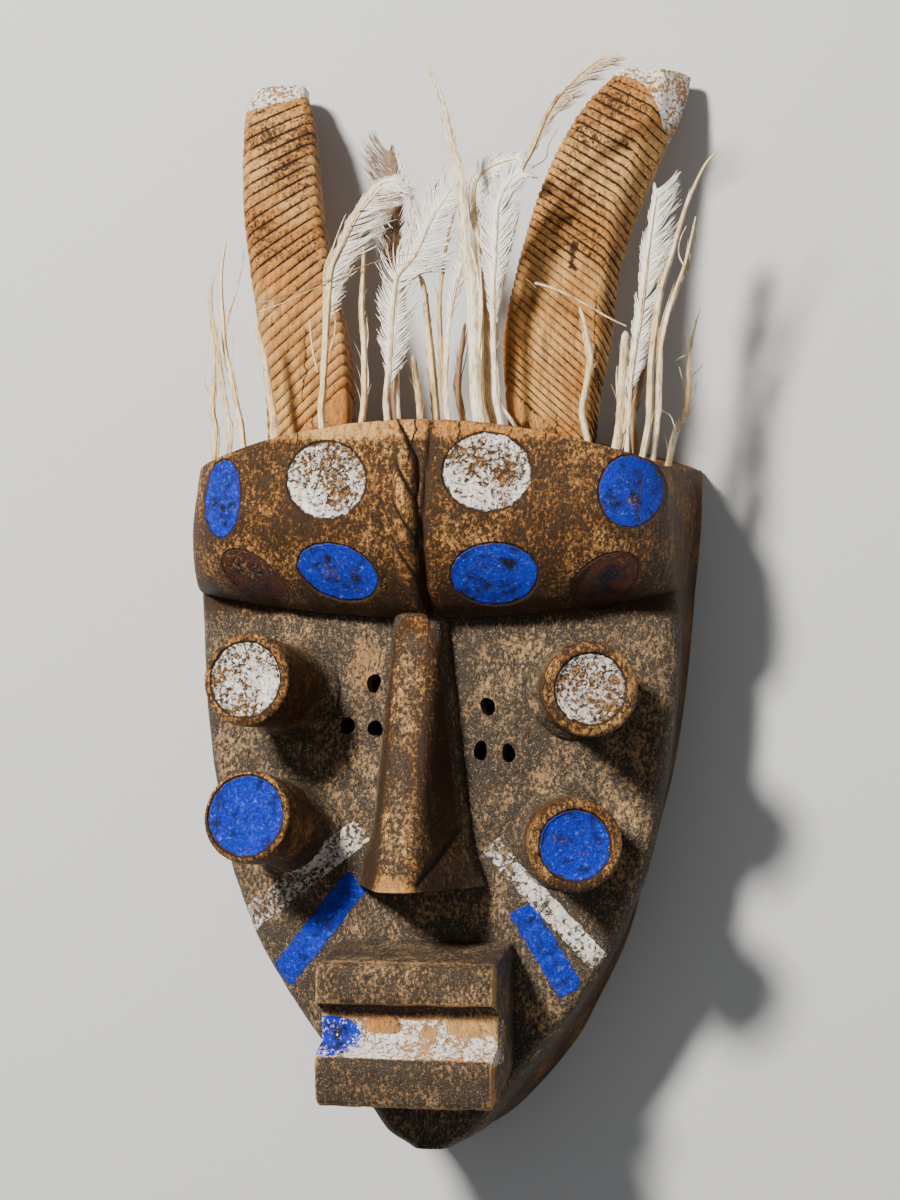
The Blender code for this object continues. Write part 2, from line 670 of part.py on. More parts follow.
def vane_reach(spec, share, column):
    """Give how far the vane reaches from the quill at a share of its length."""
    if not spec.vane:
        return 0.0
    start, end = spec.vane[0], spec.vane[1]
    t = (share - start) / (end - start)
    if t <= 0 or t > 1:
        return 0.0
    return QUILL_ROW_HEIGHT * spec.vane[column] * math.sin(math.pi * min(0.12 + 0.8 * t, 1.0)) ** 0.7


def quill(spec, collection, carrier):
    """Make one quill in its hole: a six-sided rod that thins towards its tip and widens to a vane."""
    path = quill_path(spec)
    last = len(path) - 1
    rings = []
    for index, point in enumerate(path):
        ahead = path[min(index + 1, last)] - path[max(index - 1, 0)]
        side = Vector((0, 0, 1)).cross(ahead).normalized()
        share = max(index - 1, 0) / (last - 1)
        radius = QUILL_RADIUS * spec.radius * (1 - (1 - spec.tip) * share ** 2.5)
        left = vane_reach(spec, share, 2)
        right = vane_reach(spec, share, 3)
        ring = []
        for corner in range(QUILL_SIDES):
            angle = 2 * math.pi * corner / QUILL_SIDES
            reach = math.cos(angle) * radius
            if corner == 0:
                reach += left
            if corner == QUILL_SIDES // 2:
                reach -= right
            ring.append(point + side * reach + Vector((0, 0, math.sin(angle) * radius)))
        rings.append(ring)
    solid = add_mesh(spec.name, rings, collection)
    solid.location = quill_foot(spec)
    solid.parent = carrier
    solid.data.materials.append(new_material(FEATHER_VANE if spec.vane else QUILL_HORN, spec.name))
    return solid


def quill_socket(spec, collection):
    """Make the cutter of a quill's hole, a little wider and deeper than the quill."""
    path = quill_path(spec)
    radius = QUILL_RADIUS * spec.radius + FIT
    along = (path[1] - path[0]).normalized()
    side = Vector((0, 0, 1)).cross(along).normalized()
    rings = []
    for place in (path[0] - along * FIT, path[1] + along * SOCKET_DEPTH):
        ring = []
        for corner in range(QUILL_SIDES):
            angle = 2 * math.pi * corner / QUILL_SIDES
            ring.append(place + side * math.cos(angle) * radius + Vector((0, 0, math.sin(angle) * radius)))
        rings.append(ring)
    cutter = make_guide(add_mesh(f"socket_{spec.name}", rings, collection))
    cutter.location = quill_foot(spec)
    return cutter


def eye_hole(place, index, collection):
    """Make the cutter of one eye hole."""
    across, up = place
    x = across * PLATE_HALF_WIDTH
    bpy.ops.mesh.primitive_cylinder_add(vertices=10, radius=EYE_HOLE_RADIUS, depth=3 * FACE_WALL,
                                        location=(x, height_at(up), EYE_PLANE_DEPTH - FACE_WALL))
    cutter = bpy.context.object
    cutter.name = f"eye_hole_{index}"
    for owner in list(cutter.users_collection):
        owner.objects.unlink(cutter)
    collection.objects.link(cutter)
    return make_guide(cutter)


def build():
    """Build the whole mask."""
    clear_scene()
    parts = new_collection(COLLECTION_NAME)
    guides = new_collection("guides")

    mask = mask_body(parts)
    mask.data.materials.append(new_material(CARVED_WOOD, mask.name))
    joined = [nose(guides), mouth(guides), braid(guides)]
    joined += [tube(spec, guides) for spec in TUBES]
    joined += [horn(spec, guides) for spec in HORNS]
    for other in joined:
        combine(mask, other, "UNION")
    combine(mask, mask_hollow(guides), "DIFFERENCE")
    combine(mask, rear_trim(guides), "DIFFERENCE")
    for index, place in enumerate(EYE_HOLES, start=1):
        combine(mask, eye_hole(place, index, guides), "DIFFERENCE")
    for spec in QUILLS:
        combine(mask, quill_socket(spec, guides), "DIFFERENCE")
        quill(spec, parts, mask)


if __name__ == "__main__":
    build()
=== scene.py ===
"""Looks of a carved wooden mask with two horns, tube eyes and a crown of quills and feathers.

The mask lies on its rear rim, face up. X runs across the face, Y from the chin to the horns
and Z out of the face. Lengths are in metres, and attributes on meshes are in millimetres.
"""

import logging
import math
from dataclasses import dataclass, field
from enum import Enum
from functools import reduce

import bmesh
import bpy
import numpy as np
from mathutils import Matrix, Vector, noise

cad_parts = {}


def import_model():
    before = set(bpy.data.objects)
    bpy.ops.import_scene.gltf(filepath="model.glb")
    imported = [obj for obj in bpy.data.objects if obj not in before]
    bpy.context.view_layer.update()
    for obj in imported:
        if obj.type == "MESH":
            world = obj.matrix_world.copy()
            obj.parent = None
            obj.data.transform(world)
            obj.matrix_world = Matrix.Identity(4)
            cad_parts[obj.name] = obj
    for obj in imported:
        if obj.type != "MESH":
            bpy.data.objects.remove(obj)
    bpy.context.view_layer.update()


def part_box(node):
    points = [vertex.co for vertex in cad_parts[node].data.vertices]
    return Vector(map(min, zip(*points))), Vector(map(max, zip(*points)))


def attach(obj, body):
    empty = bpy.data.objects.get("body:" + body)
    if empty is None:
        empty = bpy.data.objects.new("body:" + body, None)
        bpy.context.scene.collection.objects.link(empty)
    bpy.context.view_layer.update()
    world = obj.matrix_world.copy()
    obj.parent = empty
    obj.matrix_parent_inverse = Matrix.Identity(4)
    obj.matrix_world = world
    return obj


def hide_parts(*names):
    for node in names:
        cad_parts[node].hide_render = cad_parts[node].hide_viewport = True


MM = 0.001
BODY = "root"
FAR = 99.0
# Each crack: its place across, its lowest and its highest point, and its half width, in metres.
CRACKS = (
    (0.0005, 0.362, 0.400, 0.7 * MM), (0.0235, 0.366, 0.400, 0.5 * MM), (-0.0650, 0.370, 0.392, 0.4 * MM),
    (0.0700, 0.372, 0.392, 0.4 * MM), (-0.1040, 0.150, 0.210, 0.4 * MM), (0.1180, 0.300, 0.362, 0.4 * MM),
    (-0.0890, 0.262, 0.300, 0.5 * MM), (0.0890, 0.400, 0.455, 0.5 * MM), (-0.0700, 0.395, 0.440, 0.5 * MM),
)
HATCH_PLACE = -18.5 * MM
LOG = logging.getLogger("mask_looks")
Array = np.ndarray
Piece = bpy.types.Object


class Slot(Enum):
    """The record's material slots."""
    WOOD = "carved_wood"
    QUILL = "quill"
    FEATHER = "feather"


class Paint(Enum):
    """The paints on the wood; each value is the name of its mesh attribute."""
    WHITE = "white"
    BLUE = "blue"
    BROWN = "brown"


def between(stations: tuple, share: Array, column: int = 1) -> Array:
    """Read a column of the stations along a smooth curve through them.

    Args:
        stations: Rows that start with a rising share.
        share: Where to read.
        column: Which column to read.

    Returns:
        The values at the shares.
    """
    table = np.array(stations, float)
    keys, values = table[:, 0], table[:, column]
    share = np.asarray(share, float)
    last = len(keys) - 1
    index = np.clip(np.searchsorted(keys, share, side="left") - 1, 0, last - 1)
    before, after = np.maximum(index - 1, 0), np.minimum(index + 2, last)
    span = keys[index + 1] - keys[index]
    slope_in = (values[index + 1] - values[before]) / (keys[index + 1] - keys[before]) * span
    slope_out = (values[after] - values[index]) / (keys[after] - keys[index]) * span
    t = np.clip((share - keys[index]) / span, 0.0, 1.0)
    rise = t * t * (3 - 2 * t)
    curve = values[index] * (1 - rise) + values[index + 1] * rise
    return curve + (t ** 3 - 2 * t ** 2 + t) * slope_in + (t ** 3 - t ** 2) * slope_out


def smooth_step(low: float, high: float, value: Array) -> Array:
    """Give a smooth rise from 0 at low to 1 at high.

    Args:
        low: Where the rise starts.
        high: Where it ends.
        value: The values to read.

    Returns:
        The rise at each value.
    """
    t = np.clip((np.asarray(value, float) - low) / (high - low), 0.0, 1.0)
    return t * t * (3 - 2 * t)


def soften(points: Array, rounds: int, closed: bool) -> Array:
    """Round the corners of a line by cutting them.

    Args:
        points: The line's points.
        rounds: How often each corner is cut.
        closed: Whether the last point joins the first.

    Returns:
        The rounded line's points.
    """
    points = np.asarray(points, float)
    for _ in range(rounds):
        following = np.roll(points, -1, axis=0)
        pairs = np.stack([0.8 * points + 0.2 * following, 0.2 * points + 0.8 * following], axis=1)
        if closed:
            points = pairs.reshape(-1, points.shape[1])
        else:
            inner = pairs[:-1].reshape(-1, points.shape[1])
            points = np.vstack([points[:1], inner[1:-1], points[-1:]])
    return points


def respace(points: Array, count: int, closed: bool) -> Array:
    """Place points at even steps along a line.

    Args:
        points: The line's points.
        count: How many points to give.
        closed: Whether the last point joins the first.

    Returns:
        The evenly spaced points.
    """
    line = np.vstack([points, points[:1]]) if closed else np.asarray(points, float)
    steps = np.concatenate([[0.0], np.cumsum(np.linalg.norm(np.diff(line, axis=0), axis=1))])
    wanted = np.linspace(0, steps[-1], count + 1)[:-1] if closed else np.linspace(0, steps[-1], count)
    return np.stack([np.interp(wanted, steps, line[:, axis]) for axis in range(line.shape[1])], axis=1)


def field_noise(points: Array, size: tuple, octaves: int = 3, shift: float = 0.0) -> Array:
    """Read a fractal noise at points.

    Args:
        points: The places, in metres.
        size: The noise's grain along X, Y and Z, in metres.
        octaves: How many finer layers are added.
        shift: Moves the pattern, so that two readings differ.

    Returns:
        Values between about -1 and 1.
    """
    scaled = points / np.array(size) + shift
    return np.array([noise.fractal(Vector(p), 1.0, 2.1, octaves) for p in scaled])


def read_points(mesh: bpy.types.Mesh) -> tuple:
    """Read a mesh's points and the surface's directions there.

    Args:
        mesh: The mesh.

    Returns:
        The places and the directions.
    """
    points, normals = np.empty(len(mesh.vertices) * 3), np.empty(len(mesh.vertices) * 3)
    mesh.vertices.foreach_get("co", points)
    mesh.vertex_normals.foreach_get("vector", normals)
    return points.reshape(-1, 3), normals.reshape(-1, 3)


def store_value(mesh: bpy.types.Mesh, name: str, values: Array) -> None:
    """Store a value for each point of a mesh under a name."""
    mesh.attributes.new(name, "FLOAT", "POINT").data.foreach_set("value", np.asarray(values, np.float32))


def loft(name: str, rings: Array) -> Piece:
    """Make a closed object from rings of equally many points.

    Args:
        name: The object's name.
        rings: The points, as rings by points by 3.

    Returns:
        The object, with its normals outwards.
    """
    count, around = rings.shape[:2]
    index = np.arange(count * around).reshape(count, around)
    ahead = np.roll(index, -1, axis=1)
    quads = np.stack([index[:-1], ahead[:-1], ahead[1:], index[1:]], axis=-1).reshape(-1, 4)
    faces = quads.tolist() + [index[0][::-1].tolist(), index[-1].tolist()]
    mesh = bpy.data.meshes.new(name)
    mesh.from_pydata(rings.reshape(-1, 3).tolist(), [], faces)
    turn_outwards(mesh)
    solid = bpy.data.objects.new(name, mesh)
    bpy.context.scene.collection.objects.link(solid)
    return solid


def slab(name: str, reach: float, low: float) -> Piece:
    """Make a square slab, from a depth up to the rim's plane, that reaches as far to each side."""
    corners = np.array([(-1, -1), (1, -1), (1, 1), (-1, 1)]) * reach
    return loft(name, np.array([np.column_stack([corners, np.full(4, z)]) for z in (low, 0)]))


def turn_outwards(mesh: bpy.types.Mesh) -> None:
    """Point a closed mesh's faces outwards and cut its end faces into triangles.

    Args:
        mesh: The mesh to mend.
    """
    body = bmesh.new()
    body.from_mesh(mesh)
    bmesh.ops.recalc_face_normals(body, faces=body.faces)
    bmesh.ops.triangulate(body, faces=[face for face in body.faces if len(face.verts) > 4])
    body.to_mesh(mesh)
    body.free()


def combine(target: Piece, others: list, operation: str) -> Piece:
    """Join solids to the target, or cut them out of it, and remove them.

    Args:
        target: The solid that is changed.
        others: The solids to join or to cut with.
        operation: UNION or DIFFERENCE.

    Returns:
        The new solid, a plain mesh.
    """
    for other in others:
        change = target.modifiers.new(other.name, "BOOLEAN")
        change.operation = operation
        change.solver = "MANIFOLD"
        change.object = other
    depsgraph = bpy.context.evaluated_depsgraph_get()
    mesh = bpy.data.meshes.new_from_object(target.evaluated_get(depsgraph))
    name = target.name
    for old in [target] + others:
        bpy.data.objects.remove(old, do_unlink=True)
    result = bpy.data.objects.new(name, mesh)
    bpy.context.scene.collection.objects.link(result)
    return result


@dataclass
class MaskForm:
    """The face's sizes and the rules of its surface, the same as the solid's."""
    height: float = 390.5 * MM
    chin_drop: float = 4 * MM
    plate_half_width: float = 132 * MM
    rim_half_width: float = 134 * MM
    crown_arc: float = 24 * MM
    brow_arc: float = 14 * MM
    side_wall: float = 13 * MM
    face_wall: float = 14 * MM
    chin_wall: float = 14 * MM
    crown_wall: float = 27 * MM
    eye_plane: float = 96 * MM
    cheek_fall: float = 13 * MM
    cheek_round: float = 9 * MM
    bulge: float = 44 * MM
    rise: float = 62 * MM
    top_fall: float = 8 * MM
    edge_reach: float = 36 * MM
    edge_drop: float = 32 * MM
    brow_line: float = 0.730
    arris: float = 2.6 * MM
    trim: float = 4 * MM
    fine_half: float = 22 * MM
    plate_outline: tuple = (
        (0.000, 0.075), (0.020, 0.180), (0.050, 0.250), (0.090, 0.345), (0.135, 0.455), (0.180, 0.560),
        (0.270, 0.735), (0.360, 0.850), (0.430, 0.910), (0.540, 0.965), (0.660, 1.000), (0.850, 1.000),
        (1.000, 0.975),
    )
    rim_outline: tuple = (
        (0.000, 0.075), (0.020, 0.180), (0.045, 0.265), (0.090, 0.385), (0.135, 0.485), (0.180, 0.555),
        (0.270, 0.680), (0.360, 0.755), (0.430, 0.815), (0.540, 0.895), (0.660, 0.948), (0.850, 0.990),
        (1.000, 1.000),
    )

    def height_at(self, share: Array) -> Array:
        """Give the height along the midline for a share of the mask's height."""
        return np.asarray(share, float) * self.height - self.chin_drop

    def row_height(self, share: Array, across: Array) -> Array:
        """Give the height of a row at a share of the half width across.

        Args:
            share: The row.
            across: The place across, as a share of the half width.

        Returns:
            The height, in metres.
        """
        share = np.asarray(share, float)
        below = self.brow_arc * np.clip((share - 0.5) / (self.brow_line - 0.5), 0, 1)
        climb = np.clip((share - self.brow_line) / (1 - self.brow_line), 0, None)
        arc = below - (self.crown_arc + self.brow_arc) * climb
        return self.height_at(share) + arc * np.asarray(across, float) ** 2

    def bulge_at(self, share: Array) -> Array:
        """Give how full the brow's bulge is on a row, from 0 below the brow to 1.

        Args:
            share: The row, as a share of the mask's height.

        Returns:
            The fullness.
        """
        above = self.height_at(share) - self.height_at(self.brow_line)
        climb = np.clip(above / self.rise, 0.0, 1.0)
        top = self.height_at(1) - self.height_at(self.brow_line) - self.rise
        past = np.clip(above - self.rise, 0, None) / top
        full = np.sqrt(1 - (1 - climb) ** 2) - self.top_fall / self.bulge * past
        return np.where(above <= 0, 0.0, full)

    def plate_half(self, share: Array) -> Array:
        """Give the face plate's half width on a row."""
        return self.plate_half_width * between(self.plate_outline, share)

    def rim_half(self, share: Array) -> Array:
        """Give the rear rim's half width on a row."""
        return self.rim_half_width * between(self.rim_outline, share)

    def edge_round(self, share: Array) -> tuple:
        """Give the reach and the drop of the plate's rounded edge on a row.

        Args:
            share: The row, as a share of the mask's height.

        Returns:
            The reach and the drop, in metres.
        """
        full = self.bulge_at(share)
        reach = self.cheek_round + (self.edge_reach - self.cheek_round) * full
        drop = self.cheek_round + (self.edge_drop - self.cheek_round) * full
        return np.minimum(reach, 0.7 * self.plate_half(share)), drop

    def face_depth(self, x: Array, share: Array) -> Array:
        """Give the face's surface above the rear rim.

        Args:
            x: The place across, in metres.
            share: The row.

        Returns:
            The height above the rim, in metres.
        """
        half = self.plate_half(share)
        reach, drop = self.edge_round(share)
        fall = self.cheek_fall * (np.abs(x) / (0.85 * self.plate_half_width)) ** 1.3
        t = np.clip((np.abs(x) - (half - reach)) / reach, 0.0, 1.0)
        return self.eye_plane - fall + self.bulge * self.bulge_at(share) - drop * (1 - np.sqrt(1 - t * t))

    def share_of(self, height: Array, x: Array) -> Array:
        """Give the row whose height at x is the given one.

        Args:
            height: The height, in metres.
            x: The place across, in metres.

        Returns:
            The row's share of the mask's height.
        """
        height, x = np.broadcast_arrays(np.asarray(height, float), np.asarray(x, float))
        low, high = np.zeros(height.shape), np.ones(height.shape)
        for _ in range(26):
            middle = (low + high) / 2
            under = self.row_height(middle, x / np.maximum(self.plate_half(middle), MM)) < height
            low, high = np.where(under, middle, low), np.where(under, high, middle)
        return low

    def surface(self, x: float, y: float) -> Vector:
        """Give the point on the face in front of a place on the rear rim's plane."""
        return Vector((x, y, float(self.face_depth(x, self.share_of(y, x)))))

    def rows(self) -> Array:
        """Give the rows from the chin to the crown, closer at the chin and under the brow.

        Returns:
            The rows, as shares of the mask's height.
        """
        chin = 0.24 * (np.arange(44) / 44) ** 1.5
        cheeks = np.linspace(0.24, self.brow_line - 0.003, 94)
        angle = np.linspace(0, math.pi / 2, 42)
        turn = self.brow_line + self.rise / self.height * (1 - np.cos(angle))
        top = np.linspace(turn[-1], 1 - self.arris / self.height, 26)[1:]
        return np.concatenate([chin, cheeks, turn, top])

    def ring(self, share: float) -> Array:
        """Give one row's outline: the rear rim, the side walls and the face between them.

        Args:
            share: The row, as a share of the mask's height.

        Returns:
            The outline's points.
        """
        plate, rim = float(self.plate_half(share)), float(self.rim_half(share))
        reach = float(self.edge_round(share)[0])
        corner = plate - reach + reach * np.sin(np.linspace(math.pi / 2, 0, 15))
        near = min(self.fine_half, 0.5 * (plate - reach))
        middle = np.concatenate([np.linspace(plate - reach, near, 36)[1:], np.linspace(near, 0, 19)[1:]])
        right = np.concatenate([corner, middle])
        across = np.concatenate([right, -right[-2::-1]])
        front = np.stack([across, self.row_height(share, across / plate),
                          self.face_depth(across, np.full_like(across, share))], axis=1)
        wall_top = front[0, 2]
        climb = np.concatenate([[0.0, 1.2 * MM / wall_top], np.linspace(0.07, 1, 13)[:-1]])
        walls = rim + (plate - rim) * climb
        walls[0] -= 1.0 * MM
        level = np.full_like(walls, float(self.row_height(share, 1)))
        wall = np.stack([walls, level, climb * wall_top], axis=1)
        behind = np.array([0.1, 0.4, 0.7, 0.95])
        rear = np.stack([rim * behind, self.row_height(share, behind), np.full(4, -self.trim)], axis=1)
        wall = np.vstack([rear, wall])
        other = wall[::-1] * np.array([-1, 1, 1])
        return np.vstack([wall, front, other])

    def outer(self) -> Piece:
        """Make the shell's outer form, still solid, with a worn arris round its crown.

        Returns:
            The solid.
        """
        rings = [self.ring(share) for share in self.rows()]
        last = self.ring(1.0)
        spine = np.stack([0.9 * last[:, 0], last[:, 1], np.full(len(last), 0.5 * last[:, 2].max())], axis=1)
        reach = np.linalg.norm(spine - last, axis=1)[:, None]
        for angle in np.linspace(0.25, 1, 4) * math.pi / 2:
            inset = self.arris * (1 - math.cos(angle))
            row = last + (spine - last) * np.minimum(inset / np.maximum(reach, MM), 0.9)
            row[:, 1] -= self.arris * (1 - math.sin(angle))
            rings.append(row)
        edge = rings[-1]
        for step in np.linspace(0, 0.96, 15)[1:]:
            rings.append(edge + (spine - edge) * step)
        return loft("mask", np.array(rings))

    def hollow(self) -> Piece:
        """Make the hollow behind the face as a cutter.

        Returns:
            The cutter.
        """
        low, high = self.height_at(0) + self.chin_wall, self.height_at(1) - self.crown_wall
        rings = []
        for share in np.linspace(0.012, 1.0, 80):
            lift = low + (high - low) * share
            behind = (lift - self.face_wall + self.chin_drop) / self.height
            plate = max(float(self.plate_half(share)) - self.side_wall, 3 * MM)
            rim = max(float(self.rim_half(share)) - self.side_wall, 3 * MM)
            roof = self.eye_plane - self.face_wall + 0.6 * self.bulge * float(self.bulge_at(behind))
            half = [(0.3 * rim, -2 * self.trim), (0.7 * rim, -2 * self.trim), (rim, -2 * self.trim)]
            half += [(plate, 0.62 * roof), (0.88 * plate, 0.86 * roof), (0.6 * plate, 0.965 * roof)]
            line = np.array(half + [(0.0, roof)] + [(-x, z) for x, z in reversed(half)])
            line = respace(soften(line, 2, False), 76, False)
            arc = self.row_height(share, line[:, 0] / self.plate_half_width) - self.height_at(share)
            rings.append(np.stack([line[:, 0], lift + arc, line[:, 1]], axis=1))
        return loft("hollow", np.array(rings))

    def rear_trim(self) -> Piece:
        """Make the block whose top cuts the rear rim flat."""
        return slab("rear_trim", 2 * self.height, -4 * self.trim)


@dataclass
class Nose:
    """The long wedge of the nose, with a rounded ridge and a flat-cut end."""
    form: MaskForm
    centre: float = -4 * MM
    root: float = 0.752
    end: float = 0.364
    root_half: float = 14 * MM
    end_half: float = 30 * MM
    flare: float = 6 * MM
    root_depth: float = 108 * MM
    end_depth: float = 158 * MM
    ridge: float = 12 * MM

    def ring(self, t: float) -> Array:
        """Give one cross-section, from the root (0) to the cut end (1).

        Args:
            t: The place along the nose.

        Returns:
            The outline's points.
        """
        share = self.root + (self.end - self.root) * t
        flare = self.flare * max(0.0, (t - 0.75) / 0.25) ** 2
        half = self.root_half + (self.end_half - self.root_half) * t + flare
        top = self.root_depth + (self.end_depth - self.root_depth) * t
        ridge = min(self.ridge, 0.8 * half)
        foot = self.form.eye_plane
        rise = top - foot
        right = [
            (half, foot - 0.6 * self.form.face_wall), (half, foot + 0.06 * rise),
            (0.5 * (half + ridge), foot + 0.43 * rise), (ridge, top - 0.42 * ridge), (0.55 * ridge,
                                                                                      top - 0.08 * ridge),
        ]
        line = np.array(right + [(-x, z) for x, z in reversed(right)])
        line = respace(soften(line, 2, False), 84, False)
        return np.stack([self.centre + line[:, 0], np.full(len(line), float(self.form.height_at(share))),
                         line[:, 1]], axis=1)

    def build(self) -> Piece:
        """Make the nose as a solid to join to the face.

        Returns:
            The solid.
        """
        rings = [self.ring(t) for t in np.linspace(0, 1, 92)]
        last = rings[-1]
        middle = last.mean(axis=0)
        for inset in (0.8 * MM, 1.8 * MM, 8 * MM, 16 * MM):
            row = last + (middle - last) * (inset / np.linalg.norm(middle - last, axis=1)[:, None])
            row[:, 1] = last[0, 1] - 0.7 * MM * min(inset / (1.8 * MM), 1.0)
            rings.append(row)
        return loft("nose", np.array(rings))


@dataclass
class Mouth:
    """The mouth block: two lips with a painted slot between them."""
    form: MaskForm
    left: float = 50 * MM
    right: float = 46 * MM
    bottom: float = 0.072
    lower_lip: float = 27 * MM
    teeth: float = 27 * MM
    upper_lip: float = 21 * MM
    depth: float = 149 * MM
    slot: float = 15 * MM
    undercut: float = 18 * MM
    top_slope: float = 9 * MM
    wear: float = 3 * MM

    @property
    def low(self) -> float:
        """Give the height of the lower lip's bottom edge."""
        return float(self.form.height_at(self.bottom))

    def profile(self) -> Array:
        """Give the side view as heights and depths, from below to above.

        Returns:
            The points of the side view.
        """
        foot = self.form.eye_plane - 0.6 * self.form.face_wall
        low, wear = self.low, self.wear
        lip = low + self.lower_lip
        slot = lip + self.teeth
        top = slot + self.upper_lip
        teeth = self.depth - self.slot
        points = [
            (low + self.undercut, foot), (low + 0.3 * wear, self.depth - 2.2 * wear), (low,
                                                                                       self.depth - wear),
            (low + wear, self.depth), (lip - 1.6 * wear, self.depth + 0.3 * wear),
            (lip - 0.3 * wear, self.depth - 0.5 * wear), (lip + 2 * wear, teeth + 0.4 * wear),
            (lip + 2.4 * wear, teeth), (slot - 0.2 * wear, teeth), (slot, self.depth - wear),
            (slot + 0.7 * wear, self.depth - 0.2 * wear), (top - wear, self.depth - 0.4 * wear),
            (top, self.depth - 1.4 * wear), (top + self.top_slope, foot + 0.5 * self.form.face_wall),
            (top + self.top_slope, foot),
        ]
        return respace(soften(np.array(points), 1, False), 118, False)

    def build(self) -> Piece:
        """Make the block as a solid, with its ends worn round.

        Returns:
            The solid.
        """
        profile = self.profile()
        centre = profile[:, 0].mean()
        reach = 0.5 * (self.lower_lip + self.teeth + self.upper_lip)
        foot = profile[:, 1].min()
        ends = np.linspace(0, math.pi / 2, 5)
        inner = np.linspace(-self.left + self.wear, self.right - self.wear, 52)
        across = [(-self.left + self.wear * (1 - math.cos(a)), self.wear * (1 - math.sin(a))) for a in ends]
        across += [(x, 0.0) for x in inner[1:-1]]
        across += [(self.right - self.wear * (1 - math.cos(a)),
                    self.wear * (1 - math.sin(a))) for a in ends[::-1]]
        rings = []
        for inset in (10 * MM, 4 * MM):
            shrink = 1 - (self.wear + inset) / reach
            rings.append(self._row(profile, centre, foot, -self.left, shrink, self.wear + inset))
        for x, wear in across:
            rings.append(self._row(profile, centre, foot, x, 1 - wear / reach, wear))
        for inset in (4 * MM, 10 * MM):
            shrink = 1 - (self.wear + inset) / reach
            rings.append(self._row(profile, centre, foot, self.right, shrink, self.wear + inset))
        return loft("mouth", np.array(rings))

    @staticmethod
    def _row(profile: Array, centre: float, foot: float, x: float, shrink: float, sunk: float) -> Array:
        """Give one slice of the block, shrunk towards its middle.

        Args:
            profile: The side view.
            centre: The height that the slice shrinks towards.
            foot: The depth of the hidden foot, which doesn't move.
            x: The place across.
            shrink: The share of the height that is left.
            sunk: How far the front lies back.

        Returns:
            The slice's points.
        """
        lift = np.clip((profile[:, 1] - foot) / (14 * MM), 0, 1)
        return np.stack([np.full(len(profile), x), centre + (profile[:, 0] - centre) * shrink,
                         profile[:, 1] - sunk * lift], axis=1)


@dataclass
class Tube:
    """One cheek tube: turned, with a fillet at its foot and a sunk painted end."""
    form: MaskForm
    name: str
    across: float
    up: float
    lean_out: float
    lean_up: float
    disc: float
    paint: Paint
    length: float = 61 * MM
    tip_radius: float = 25.2 * MM
    waist_radius: float = 23 * MM
    fillet: float = 5 * MM
    rim: float = 5.5 * MM
    recess: float = 2.0 * MM

    @property
    def base(self) -> Vector:
        """Give the middle of the tube's foot on the cheek."""
        return self.form.surface(self.across * self.form.plate_half_width,
                                 float(self.form.height_at(self.up)))

    @property
    def axis(self) -> Vector:
        """Give the direction from the foot to the tip."""
        return Vector((self.lean_out, self.lean_up, math.sqrt(1 - self.lean_out ** 2))).normalized()

    def build(self) -> Piece:
        """Make the tube as a solid to join to the face.

        Returns:
            The solid.
        """
        disc = self.disc
        points = np.array([
            (0.001 * MM, self.length - self.recess), (disc - 0.6 * MM, self.length - self.recess),
            (disc, self.length - 0.4 * MM), (disc + 1.0 * MM, self.length), (self.tip_radius - 2 * MM,
                                                                             self.length - 0.1 * MM),
            (self.tip_radius, self.length - 2.2 * MM), (self.waist_radius, 0.45 * self.length),
            (self.waist_radius, 2 * self.fillet), (self.waist_radius + 0.3 * self.fillet, self.fillet),
            (self.waist_radius + self.fillet, 0), (self.waist_radius + self.fillet,
                                                   -0.5 * self.form.face_wall),
            (0.001 * MM, -0.5 * self.form.face_wall),
        ])
        line = np.vstack([respace(soften(points[:-2], 2, False), 46, False), points[-2:]])
        angle = np.linspace(0, 2 * math.pi, 76, endpoint=False)
        rings = np.stack([line[:, :1] * np.cos(angle), line[:, :1] * np.sin(angle),
                          np.repeat(line[:, 1:], len(angle), axis=1)], axis=-1)
        turn = np.array(self.axis.to_track_quat("Z", "Y").to_matrix())
        return loft(self.name, rings @ turn.T + np.array(self.base))


